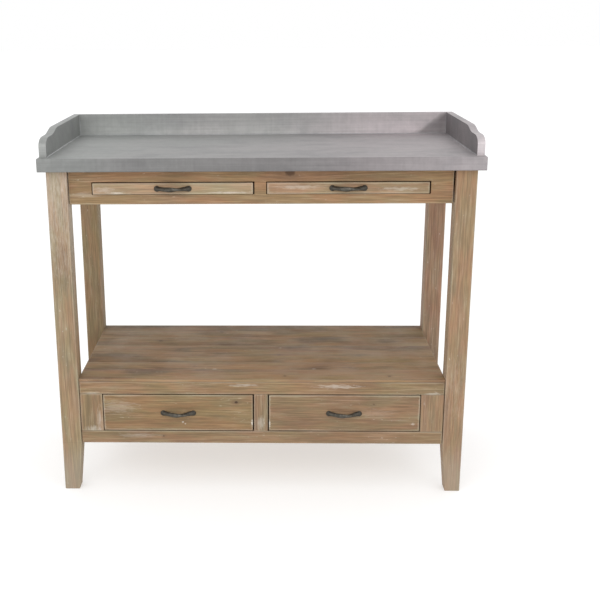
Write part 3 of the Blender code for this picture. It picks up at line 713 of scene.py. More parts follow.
@dataclass(frozen=True)
class FloorFinish:
    """A pale matt studio floor.

    Attributes:
        colour: Its colour.
        glow: How much light it gives off.
    """

    colour: Colour = (0.60, 0.60, 0.60)
    glow: float = 0.50

    def build(self, material: bpy.types.Material) -> None:
        """Build the nodes of a new material."""
        g, shader = open_material(material)
        tone = g.ramp(g.noise(g.place(), 1.5, 3.0), 0.3, 0.7, 0.985, 1.0)
        g.feed_all(shader, {
            "Base Color": g.shade(self.colour, g.grey(tone)),
            "Roughness": 0.9,
            "Specular IOR Level": 0.1,
            "Emission Color": (1.0, 1.0, 1.0, 1.0),
            "Emission Strength": self.glow,
        })


def open_material(material: bpy.types.Material) -> tuple[Graph, bpy.types.Node]:
    """A new material's graph and its Principled shader."""
    material.use_nodes = True
    return Graph(material.node_tree), material.node_tree.nodes["Principled BSDF"]


TIMBERS: Mapping[Material, TimberFinish] = {
    Material.WEATHERED: TimberFinish(scuffed=0.40),
    Material.SHELF: TimberFinish(staining=1.25, contrast=0.80, veil=0.38, edge_lime_and_highlight=0.22),
    Material.LIMED: TimberFinish(early=(0.37, 0.265, 0.165), late=(0.27, 0.18, 0.105), veil=0.70,
                                 staining=0.30, edge_lime_and_highlight=0.85, edge_width=0.0055),
    Material.DRAWER_FRONT: TimberFinish(veil=0.55, edge_lime_and_highlight=0.75, edge_width=0.0050),
    Material.DRAWER: TimberFinish(early=(0.46, 0.335, 0.205), late=(0.33, 0.215, 0.115), veil=0.0,
                                  flecks=0.0, staining=0.25, edge_lime_and_highlight=0.0),
    Material.CARCASS: TimberFinish(early=(0.37, 0.265, 0.155), late=(0.26, 0.165, 0.088), veil=0.05,
                                   flecks=0.0, staining=0.40, edge_lime_and_highlight=0.1),
    Material.CORE: TimberFinish(early=(0.38, 0.27, 0.16), late=(0.26, 0.165, 0.088), veil=0.0,
                                flecks=0.0, staining=0.35, source=GrainSource.PLACE),
}

METALS: Mapping[Material, ZincFinish | CastFinish] = {
    Material.ZINC: ZincFinish(),
    Material.SOLDER: ZincFinish(cool=(0.47, 0.48, 0.48), warm=(0.48, 0.47, 0.48), clouding=0.2),
    Material.BRONZE: CastFinish(),
    Material.STEEL: CastFinish(body=(0.12, 0.12, 0.12), rubbed=(0.3, 0.3, 0.3)),
}

# What the finish's colour is multiplied by on some boards. The others are drawn at random.
LOOKS: Mapping[str, Colour] = {
    "front_left_leg": (0.96, 1.00, 1.02), "front_right_leg": (0.98, 0.94, 0.94),
    "back_left_leg": (0.84, 0.85, 0.81), "back_right_leg": (0.98, 0.91, 1.02),
    "front_apron": (0.92, 0.83, 0.75), "upper_left_drawer_front": (0.97, 0.96, 0.93),
    "upper_right_drawer_front": (0.85, 0.77, 0.71), "box_top_rail": (0.85, 0.81, 0.75),
    "box_bottom_rail": (0.83, 0.79, 0.75), "left_stile": (0.86, 0.84, 0.81),
    "middle_stile": (0.81, 0.79, 0.77), "right_stile": (0.91, 0.89, 0.90),
    "lower_left_drawer_front": (0.81, 0.77, 0.67), "lower_right_drawer_front": (0.79, 0.75, 0.73),
}


# --- Boards -----------------------------------------------

MERGE = 0.00001         # how near two points of a shape lie to count as one
FINE_MERGE = 0.000001   # the same after a bevel
FLAT = math.radians(0.5)
SHARP = math.radians(30)
CREASE = math.radians(50)


def points_of(mesh: bpy.types.Mesh) -> np.ndarray:
    """A mesh's vertices, one a row."""
    points = np.empty(len(mesh.vertices) * 3, np.float32)
    mesh.vertices.foreach_get("co", points)
    return points.reshape(-1, 3)


def mesh_of(name: str, shape: bmesh.types.BMesh) -> bpy.types.Mesh:
    """A new mesh of a shape, which is used up."""
    mesh = bpy.data.meshes.new(name)
    shape.to_mesh(mesh)
    shape.free()
    return mesh


def soften(mesh: bpy.types.Mesh) -> None:
    """Shade a mesh smooth but for its creases."""
    mesh.shade_smooth()
    mesh.set_sharp_from_angle(angle=CREASE)


def clamped(value: float) -> float:
    """A value kept between 0 and 1."""
    return min(1.0, max(0.0, value))


@dataclass(frozen=True)
class Box:
    """A box between two corners.

    Attributes:
        low: Its lowest corner.
        high: Its highest corner.
    """

    low: Vector
    high: Vector

    @staticmethod
    def of(node: str) -> "Box":
        """The box of a CAD node."""
        return Box(*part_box(node))
    @staticmethod
    def around(points: np.ndarray) -> "Box":
        """The box round some points, one a row."""
        return Box(*(Vector([float(value) for value in corner]) for corner in (points.min(0), points.max(0))))

    @property
    def middle(self) -> Vector:
        """Its centre."""
        return (self.low + self.high) / 2

    @property
    def size(self) -> Vector:
        """Its length along each axis."""
        return self.high - self.low


@dataclass(frozen=True)
class Grain:
    """How the timber lies in one board.

    Attributes:
        box: The board.
        along: The direction of its grain.
        seed: What makes it differ from other boards.
        look: What its finish's colour is multiplied by, or None for a look drawn from the seed.
    """

    box: Box
    along: Axis
    seed: int
    look: Colour | None = None

    @property
    def axes(self) -> tuple[int, int, int]:
        """The frame's axes along the grain, across the board and through it."""
        rest = [axis for axis in range(3) if axis != self.along.value]
        rest.sort(key=lambda axis: -self.box.size[axis])
        return self.along.value, rest[0], rest[1]

    @property
    def start(self) -> Vector:
        """Where the board's middle lies in the log, from the pith."""
        draw = random.Random(self.seed)
        return Vector((1.3 * self.seed, draw.uniform(-0.035, 0.035), draw.uniform(0.030, 0.075)))

    @property
    def tint(self) -> Colour:
        """The board's look, or one drawn from its seed: a little lighter or darker, warmer or cooler."""
        if self.look:
            return self.look
        draw = random.Random(self.seed * 7 + 3)
        light, warm = draw.uniform(0.88, 1.08), draw.uniform(-0.06, 0.06)
        return light * (1 + warm * 0.5), light, light * (1 - warm)

    def read(self, point: Vector) -> Vector:
        """The grain coordinate of a point of the frame."""
        offset = point - self.box.middle
        return self.start + Vector([offset[axis] for axis in self.axes])

    def mark(self, mesh: bpy.types.Mesh, chosen: np.ndarray | None = None) -> None:
        """Store the grain's attributes on a mesh.

        Args:
            mesh: The board's mesh.
            chosen: Which of its vertices belong to this board, or None for all.
        """
        offset = points_of(mesh) - np.array(self.box.middle, np.float32)
        write(mesh, GRAIN, offset[:, list(self.axes)] + np.array(self.start, np.float32), chosen)
        write(mesh, PLACE, offset, chosen)
        for name, value in ((HALF, self.box.size / 2), (TINT, self.tint)):
            write(mesh, name, np.tile(np.array(value, np.float32), (len(offset), 1)), chosen)


def write(mesh: bpy.types.Mesh, name: str, values: np.ndarray, picked: np.ndarray | None = None) -> None:
    """Store values on a mesh's vertices, keeping what those not picked hold.

    Args:
        mesh: The mesh.
        name: The attribute's name.
        values: A row of one or three numbers for each vertex.
        picked: Which vertices take them, or None for all.
    """
    key, kind = ("vector", "FLOAT_VECTOR") if values.shape[1] == 3 else ("value", "FLOAT")
    layer = mesh.attributes.get(name) or mesh.attributes.new(name, kind, "POINT")
    held = np.empty(values.size, np.float32)
    layer.data.foreach_get(key, held)
    held = held.reshape(values.shape)
    rows = slice(None) if picked is None else picked
    held[rows] = values[rows]
    layer.data.foreach_set(key, held.ravel())


@dataclass(frozen=True)
class Wear:
    """How far a board's arrises are rounded off.

    Attributes:
        radius: The radius of a fresh arris.
        spread: How much it varies along the board, as a share.
        ripple: How quickly it varies, in ripples to the metre.
        least: The least radius.
        dent: The greatest depth of a knock.
        width: The least and greatest width of a knock.
        dents: How many knocks there are.
        step: The distance between two sections of the board.
    """

    radius: float = 0.0015
    spread: float = 0.45
    ripple: float = 11.0
    least: float = 0.0002
    dent: float = 0.0012
    width: tuple[float, float] = (0.004, 0.012)
    dents: int = 4
    step: float = 0.016


CORNERS = ((1, 1), (-1, 1), (-1, -1), (1, -1))
CORNER_STEPS = 4
END_STEPS = 3
SUPPORT = 0.0006        # from a rounded arris to the first points on the flat beside it


def section_points(half_across: float, half_through: float,
                   radii: Sequence[float]) -> list[tuple[float, float]]:
    """The outline of a board's section, with a radius of its own at each corner.

    Args:
        half_across: Half of the section's width.
        half_through: Half of its thickness.
        radii: The radius at each of the corners.

    Returns:
        The points across and through the board, from its middle.
    """
    points = []
    for index, ((side, face), radius) in enumerate(zip(CORNERS, radii)):
        centre = (side * (half_across - radius), face * (half_through - radius))
        start = math.pi / 2 * index
        arc = [start + math.pi / 2 * step / CORNER_STEPS for step in range(CORNER_STEPS + 1)]
        edge = [(centre[0] + radius * math.cos(a), centre[1] + radius * math.sin(a)) for a in arc]
        first, last = arc[0], arc[-1]
        points.append((edge[0][0] + SUPPORT * math.sin(first), edge[0][1] - SUPPORT * math.cos(first)))
        points.extend(edge)
        points.append((edge[-1][0] - SUPPORT * math.sin(last), edge[-1][1] + SUPPORT * math.cos(last)))
    return points


def worn_board(name: str, grain: Grain, wear: Wear = Wear(),
               section: Section | None = None) -> bpy.types.Mesh:
    """A board whose arrises are rounded unevenly, with a knock here and there.

    Args:
        name: The mesh's name.
        grain: The board and the direction of its grain.
        wear: How worn it is.
        section: Gives the low and high side across and through the board, from its middle, at a distance
            along it from its middle. None for a plain board.

    Returns:
        The closed mesh, in the frame.
    """
    lengthwise, crosswise, through = grain.axes
    size, middle = grain.box.size, grain.box.middle
    half = size[lengthwise] / 2
    whole = (-size[crosswise] / 2, size[crosswise] / 2, -size[through] / 2, size[through] / 2)
    draw = random.Random(grain.seed)
    dents = [(draw.uniform(-half, half), draw.randrange(4), draw.uniform(0.3, 1.0) * wear.dent,
              draw.uniform(*wear.width)) for _ in range(wear.dents)]
    ease = wear.radius
    angles = [math.pi / 2 * step / END_STEPS for step in range(END_STEPS + 1)]
    ends = [(half - ease + ease * math.sin(a), ease * (1 - math.cos(a))) for a in angles]
    count = max(2, round((size[lengthwise] - 2 * ease) / wear.step))
    inner = half - ease - SUPPORT
    middles = [(-inner + 2 * inner * step / count, 0.0) for step in range(count + 1)]
    stations = [(-at, inset) for at, inset in reversed(ends)] + middles + ends
    shape = bmesh.new()
    rings = []
    for at, inset in stations:
        low_a, high_a, low_t, high_t = section(at) if section else whole
        radii = []
        for corner in range(4):
            ripple = noise.noise(Vector((at * wear.ripple, corner * 4.3, grain.seed * 1.7)))
            radius = wear.radius * (1 + wear.spread * ripple)
            radius += sum(deep * math.exp(-((at - where) / wide) ** 2)
                          for where, which, deep, wide in dents if which == corner)
            radii.append(max(radius - inset, wear.least))
        ring = []
        for across, deep in section_points((high_a - low_a) / 2 - inset, (high_t - low_t) / 2 - inset, radii):
            place = Vector()
            place[lengthwise] = at
            place[crosswise] = across + (low_a + high_a) / 2
            place[through] = deep + (low_t + high_t) / 2
            ring.append(shape.verts.new(place + middle))
        rings.append(ring)
    mesh = closed_loft(name, shape, rings)
    grain.mark(mesh)
    return mesh


def closed_loft(name: str, shape: bmesh.types.BMesh,
                rings: Sequence[Sequence[bmesh.types.BMVert]]) -> bpy.types.Mesh:
    """Join rings of vertices into a closed mesh, with its normals outwards.

    Args:
        name: The mesh's name.
        shape: The shape that holds the vertices, which is used up.
        rings: The rings, each with as many vertices.

    Returns:
        The mesh.
    """
    for ring, following in zip(rings, rings[1:]):
        for index in range(len(ring)):
            after = (index + 1) % len(ring)
            shape.faces.new((ring[index], ring[after], following[after], following[index]))
    shape.faces.new(rings[0])
    shape.faces.new(rings[-1])
    bmesh.ops.recalc_face_normals(shape, faces=shape.faces)
    mesh = mesh_of(name, shape)
    soften(mesh)
    return mesh


def round_off(shape: bmesh.types.BMesh, radius: float, segments: int = 2) -> None:
    """Round every sharp edge of a closed shape, leaving its other faces flat in shading.

    Args:
        shape: The shape.
        radius: The radius of its edges.
        segments: How many faces go round an edge.
    """
    sharp = [edge for edge in shape.edges if len(edge.link_faces) == 2 and edge.calc_face_angle() > SHARP]
    for face in shape.faces:
        face.smooth = False
    made = bmesh.ops.bevel(shape, geom=sharp, offset=radius, offset_type="OFFSET", segments=segments,
                           profile=0.5, affect="EDGES", clamp_overlap=True)
    for face in made["faces"]:
        face.smooth = True
    bmesh.ops.remove_doubles(shape, verts=shape.verts, dist=FINE_MERGE)


def cad_copy(name: str, node: str, radius: float, segments: int = 2) -> bpy.types.Mesh:
    """A copy of a CAD node with its triangles merged into whole faces and its edges rounded.

    Args:
        name: The mesh's name.
        node: The CAD node.
        radius: The radius of its edges.
        segments: How many faces go round an edge.

    Returns:
        The mesh.
    """
    shape = bmesh.new()
    shape.from_mesh(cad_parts[node].data)
    bmesh.ops.remove_doubles(shape, verts=shape.verts, dist=MERGE)
    bmesh.ops.dissolve_limit(shape, angle_limit=FLAT, verts=shape.verts, edges=shape.edges)
    round_off(shape, radius, segments)
    return mesh_of(name, shape)


def pierced_board(name: str, grain: Grain, openings: Sequence[Box], radius: float) -> bpy.types.Mesh:
    """An upright board along X with rectangular openings through it, all its edges rounded.

    Args:
        name: The mesh's name.
        grain: The board and the direction of its grain.
        openings: The openings.
        radius: The radius of its edges.

    Returns:
        The closed mesh, in the frame.
    """
    low, high = grain.box.low, grain.box.high
    across = sorted({low.x, high.x, *(side for o in openings for side in (o.low.x, o.high.x))})
    levels = sorted({low.z, high.z, *(side for o in openings for side in (o.low.z, o.high.z))})

    def is_solid(x: float, z: float) -> bool:
        """Whether a place lies in the board and in none of its openings."""
        opened = any(o.low.x < x < o.high.x and o.low.z < z < o.high.z for o in openings)
        return low.x < x < high.x and low.z < z < high.z and not opened

    shape = bmesh.new()
    for left, right in zip(across, across[1:]):
        for base, top in zip(levels, levels[1:]):
            middle = ((left + right) / 2, (low.y + high.y) / 2, (base + top) / 2)
            if is_solid(middle[0], middle[2]):
                cell = bmesh.ops.create_cube(shape, size=1.0)["verts"]
                bmesh.ops.scale(shape, vec=(right - left, high.y - low.y, top - base), verts=cell)
                bmesh.ops.translate(shape, vec=middle, verts=cell)
    bmesh.ops.remove_doubles(shape, verts=shape.verts, dist=MERGE)
    shape.normal_update()
    inner = []
    for face in shape.faces:
        middle, step = face.calc_center_median(), face.normal * SUPPORT
        sides = [middle + step, middle - step]
        if abs(face.normal.y) < 0.5 and all(is_solid(side.x, side.z) for side in sides):
            inner.append(face)
    bmesh.ops.delete(shape, geom=inner, context="FACES")
    bmesh.ops.recalc_face_normals(shape, faces=shape.faces)
    round_off(shape, radius, 3)
    mesh = mesh_of(name, shape)
    grain.mark(mesh)
    return mesh


# --- Pieces -----------------------------------------------

class Workshop:
    """Puts finished meshes on the bench, and keeps the materials and every board's grain."""

    def __init__(self) -> None:
        """Start with every material empty."""
        self.materials = {material: bpy.data.materials.new(material.label) for material in Material}
        self.grains: dict[str, list[Grain]] = {}

    def grain(self, node: str, along: Axis, box: Box | None = None, look: Colour | None = None) -> Grain:
        """Start a new board of a CAD node.

        Args:
            node: The CAD node.
            along: The direction of the board's grain.
            box: The board, or None for the whole node.
            look: What its finish's colour is multiplied by, or None for the node's own.

        Returns:
            The board's grain, unlike that of any board before it.
        """
        seed = 1 + sum(len(grains) for grains in self.grains.values())
        grain = Grain(box or Box.of(node), along, seed, look or LOOKS.get(node))
        self.grains.setdefault(node, []).append(grain)
        return grain

    def find(self, spot: Spot) -> Vector:
        """The grain coordinate of a spot.

        Args:
            spot: The spot.

        Returns:
            Its centre, in the grain of the board that it lies on.
        """
        whole = Box.of(spot.node)
        boards = self.grains[spot.node]
        lengthwise, crosswise, _ = Grain(whole, boards[0].along, 0).axes
        point = whole.middle
        point[lengthwise] = whole.low[lengthwise] + spot.along * whole.size[lengthwise]
        point[crosswise] = whole.low[crosswise] + spot.across * whole.size[crosswise]
        board = min(boards, key=lambda grain: abs(grain.box.middle[crosswise] - point[crosswise]))
        return board.read(point)

    def add(self, mesh: bpy.types.Mesh, material: Material, body: str = BENCH,
            stands_for: str | None = None) -> bpy.types.Object:
        """Put a finished mesh in the scene, as a piece of the same name.

        Args:
            mesh: The mesh, in the frame.
            material: Its material.
            body: The CAD body that it rides on.
            stands_for: The CAD node that it replaces, if any.

        Returns:
            The piece.
        """
        piece = bpy.data.objects.new(mesh.name, mesh)
        bpy.context.scene.collection.objects.link(piece)
        mesh.materials.clear()
        mesh.materials.append(self.materials[material])
        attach(piece, body)
        if stands_for:
            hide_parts(stands_for)
        LOG.info("%s: %d faces, %s, on %s", mesh.name, len(mesh.polygons), material.label, body)
        return piece

    def board(self, node: str, along: Axis, material: Material, wear: Wear = Wear(), body: str = BENCH,
              section: Section | None = None, box: Box | None = None) -> None:
        """Replace a CAD board with a worn one.

        Args:
            node: The CAD node.
            along: The direction of its grain.
            material: Its material.
            wear: How worn it is.
            body: The CAD body that it rides on.
            section: Its section along its length, as worn_board takes it.
            box: The box that it fills, or None for the node's own.
        """
        mesh = worn_board(f"{node}_timber", self.grain(node, along, box), wear, section)
        self.add(mesh, material, body, node)

    def copied(self, node: str, along: Axis, material: Material, body: str = BENCH,
               radius: float = 0.0006) -> None:
        """Replace a CAD board with a copy of itself whose edges are rounded.

        Args:
            node: The CAD node.
            along: The direction of its grain.
            material: Its material.
            body: The CAD body that it rides on.
            radius: The radius of its edges.
        """
        grain = self.grain(node, along)
        mesh = cad_copy(f"{node}_timber", node, radius)
        grain.mark(mesh)
        self.add(mesh, material, body, node)

    def dress(self, node: str, material: Material) -> None:
        """Give a CAD node that stays one of the materials."""
        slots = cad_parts[node].data.materials
        slots.clear()
        slots.append(self.materials[material])
        LOG.info("%s: kept, %s", node, material.label)


def evaluated_mesh(name: str, tree: bpy.types.NodeTree, values: Mapping[str, object]) -> bpy.types.Mesh:
    """The plain mesh that a geometry tree makes.

    Args:
        name: The mesh's name.
        tree: The tree.
        values: The value of each named input.

    Returns:
        The mesh.
    """
    plain = bpy.data.meshes.new(name)
    holder = bpy.data.objects.new(name, plain)
    bpy.context.scene.collection.objects.link(holder)
    modifier = holder.modifiers.new(tree.name, "NODES")
    modifier.node_group = tree
    for item in tree.interface.items_tree:
        if item.in_out == "INPUT" and item.name in values:
            modifier[item.identifier] = values[item.name]
    evaluated = holder.evaluated_get(bpy.context.evaluated_depsgraph_get())
    mesh = bpy.data.meshes.new_from_object(evaluated)
    bpy.data.objects.remove(holder)
    bpy.data.meshes.remove(plain)
    mesh.name = name
    return mesh


# --- What geometry nodes make -----------------------------

BOARD_NUMBER = "board_number"
BOARD_MIDDLE = "board_middle"
BOARD_WIDTH = "board_width"
STRIP_STEPS = 48        # the points along a glued board


class Patterns:
    """The geometry trees, each built once."""

    def __init__(self) -> None:
        """Build every tree."""
        self.glued = self._glued_boards()
        self.heads = self._row_of_heads()
        self.bead = self._bead()

    def _glued_boards(self) -> bpy.types.NodeTree:
        """Boards of uneven width laid edge to edge along X, filling a depth."""
        group = Group(
            "glued_boards", "GeometryNodeTree",
            {"Length": ("value", 0.9), "Depth": ("value", 0.4), "Thickness": ("value", 0.007),
             "Boards": ("whole", 7), "Joint": ("value", 0.0005), "Arris": ("value", 0.001),
             "Spread": ("value", 0.3), "Seed": ("whole", 1), "Material": "material"},
            {"Geometry": "shape"},
        )
        g, takes = group.graph, group.takes
        number = g.node("GeometryNodeInputIndex")
        range_of = {2: g.minus(1.0, takes["Spread"]), 3: g.plus(1.0, takes["Spread"])}
        width = g.node("FunctionNodeRandomValue", {**range_of, "ID": number, "Seed": takes["Seed"]},
                       data_type="FLOAT").outputs[1]
        sums = g.node("GeometryNodeAccumulateField", {0: width}, data_type="FLOAT").outputs
        part = g.over(width, sums["Total"])
        start = g.minus(g.over(sums["Trailing"], sums["Total"]), 0.5)
        middle = g.times(g.line(part, 0.5, start), takes["Depth"])
        wide = g.minus(g.times(part, takes["Depth"]), takes["Joint"])
        points = g.node("GeometryNodePoints", {"Count": takes["Boards"]})
        laid = g.node("GeometryNodeSetPosition", {"Geometry": points, "Position": g.joined({1: middle})})
        for name, kind, value in ((BOARD_NUMBER, "INT", number), (BOARD_MIDDLE, "FLOAT", middle),
                                  (BOARD_WIDTH, "FLOAT", wide)):
            laid = g.node("GeometryNodeStoreNamedAttribute", {"Geometry": laid, "Name": name, "Value": value},
                          data_type=kind, domain="POINT")
        line = g.node("GeometryNodeCurvePrimitiveLine", {
            "Start": g.joined({0: g.times(takes["Length"], -0.5)}),
            "End": g.joined({0: g.times(takes["Length"], 0.5)}),
        })
        fine = g.node("GeometryNodeResampleCurve", {"Curve": line, "Count": STRIP_STEPS})
        base = g.times(takes["Arris"], 4.0)
        section = g.node("GeometryNodeCurvePrimitiveQuadrilateral",
                         {"Width": base, "Height": takes["Thickness"]})
        eased = g.node("GeometryNodeFilletCurve", {"Curve": section, "Count": 4, "Radius": takes["Arris"]},
                       mode="POLY")
        strip = g.node("GeometryNodeCurveToMesh", {"Curve": fine, "Profile Curve": eased, "Fill Caps": True})
        copies = g.node("GeometryNodeInstanceOnPoints", {"Points": laid, "Instance": strip})
        real = g.node("GeometryNodeRealizeInstances", {"Geometry": copies})
        across = g.parts(g.node("GeometryNodeInputPosition"))[1]
        side = g.math("SIGN", g.minus(across, self._named(g, BOARD_MIDDLE)))
        more = g.times(g.minus(self._named(g, BOARD_WIDTH), base), 0.5)
        push = g.joined({1: g.times(side, more)})
        widened = g.node("GeometryNodeSetPosition", {"Geometry": real, "Offset": push})
        made = g.node("GeometryNodeSetMaterial", {"Geometry": widened, "Material": takes["Material"]})
        return group.give(Geometry=made)

    @staticmethod
    def _named(g: Graph, name: str) -> Socket:
        """A number stored on the points under a name."""
        return g.node("GeometryNodeInputNamedAttribute", {"Name": name}, data_type="FLOAT").outputs[0]

    @staticmethod
    def _finished(group: Group, shape: bpy.types.Node) -> bpy.types.NodeTree:
        """End a tree: its instances made real, shaded smooth and given the material."""
        g = group.graph
        real = g.node("GeometryNodeRealizeInstances", {"Geometry": shape})
        smooth = g.node("GeometryNodeSetShadeSmooth", {"Geometry": real})
        feeds = {"Geometry": smooth, "Material": group.takes["Material"]}
        return group.give(Geometry=g.node("GeometryNodeSetMaterial", feeds))

    def _row_of_heads(self) -> bpy.types.NodeTree:
        """A row of low domed heads from one point to another."""
        group = Group(
            "row_of_heads", "GeometryNodeTree",
            {"Start": "vector", "End": "vector", "Count": ("whole", 2), "Radius": ("value", 0.002),
             "Rise": ("value", 0.0006), "Turn": "vector", "Material": "material"},
            {"Geometry": "shape"},
        )
        g, takes = group.graph, group.takes
        feeds = {"Count": takes["Count"], "Start Location": takes["Start"], "Offset": takes["End"]}
        row = g.node("GeometryNodeMeshLine", feeds, mode="END_POINTS")
        ball = g.node("GeometryNodeMeshUVSphere", {"Segments": 14, "Rings": 8, "Radius": 1.0})
        size = g.joined({0: takes["Radius"], 1: takes["Radius"], 2: takes["Rise"]})
        turn = g.node("FunctionNodeEulerToRotation", {0: takes["Turn"]})
        return self._finished(group, g.node("GeometryNodeInstanceOnPoints", {
            "Points": row, "Instance": ball.outputs["Mesh"], "Rotation": turn, "Scale": size,
        }))

    def _bead(self) -> bpy.types.NodeTree:
        """An uneven bead of solder from one point to another."""
        group = Group(
            "solder_bead", "GeometryNodeTree",
            {"Start": "vector", "End": "vector", "Radius": ("value", 0.0014), "Spread": ("value", 0.3),
             "Seed": ("value", 1.0), "Material": "material"},
            {"Geometry": "shape"},
        )
        g, takes = group.graph, group.takes
        line = g.node("GeometryNodeCurvePrimitiveLine", {"Start": takes["Start"], "End": takes["End"]})
        fine = g.node("GeometryNodeResampleCurve", {"Curve": line, "Length": 0.004}, mode="LENGTH")
        place = g.vector("ADD", g.node("GeometryNodeInputPosition"), takes["Seed"])
        size = g.line(g.minus(g.noise(place, 70.0), 0.5), takes["Spread"], 1.0)
        ring = g.node("GeometryNodeCurvePrimitiveCircle", {"Resolution": 10, "Radius": takes["Radius"]},
                      mode="RADIUS")
        return self._finished(group, g.node("GeometryNodeCurveToMesh", {
            "Curve": fine, "Profile Curve": ring.outputs["Curve"], "Fill Caps": True, "Scale": size,
        }))


@dataclass(frozen=True)
class Row:
    """A row of nail or screw heads in one face.

    Attributes:
        start: The middle of the first head, on the face.
        end: The middle of the last.
        count: How many heads there are.
        facing: The direction that the face looks along.
        radius: The radius of a head.
    """

    start: Vector
    end: Vector
    count: int
    facing: Axis
    radius: float


TURNS = {Axis.X: Vector((0.0, math.pi / 2, 0.0)), Axis.Y: Vector((math.pi / 2, 0.0, 0.0)), Axis.Z: Vector()}

RISE = 0.2              # how far a head stands out, as a share of its radius


@dataclass
class Assembly:
    """A part of the bench, with what it takes to build one.

    Attributes:
        shop: What puts its pieces in the scene.
        patterns: The geometry trees.
    """

    shop: Workshop
    patterns: Patterns

    def fixings(self, name: str, rows: Sequence[Row], body: str = BENCH) -> None:
        """Put rows of heads on a body, as one piece.

        Args:
            name: The piece's name.
            rows: The rows.
            body: The CAD body that they ride on.
        """
        meshes = []
        for row in rows:
            values = {"Start": row.start, "End": row.end, "Count": row.count, "Radius": row.radius,
                      "Rise": row.radius * RISE, "Turn": TURNS[row.facing],
                      "Material": self.shop.materials[Material.STEEL]}
            meshes.append(evaluated_mesh(name, self.patterns.heads, values))
        self.shop.add(joined(name, meshes), Material.STEEL, body)


def joined(name: str, meshes: Sequence[bpy.types.Mesh]) -> bpy.types.Mesh:
    """Several meshes as one, each still a closed shell.

    Args:
        name: The new mesh's name.
        meshes: The meshes, which are used up.

    Returns:
        The new mesh.
    """
    shape = bmesh.new()
    for mesh in meshes:
        shape.from_mesh(mesh)
        bpy.data.meshes.remove(mesh)
    made = mesh_of(name, shape)
    soften(made)
    return made


# --- The zinc top -----------------------------------------

def tarnish_and_painted_light(mesh: bpy.types.Mesh, rule: Callable[[Vector], float]) -> None:
    """Store how bright the zinc is at each point of a mesh: its tarnish, with painted shade, highlights and
    reflection.
    """
    write(mesh, TARNISH_AND_PAINTED_LIGHT, np.array([[rule(vertex.co)] for vertex in mesh.vertices], np.float32))


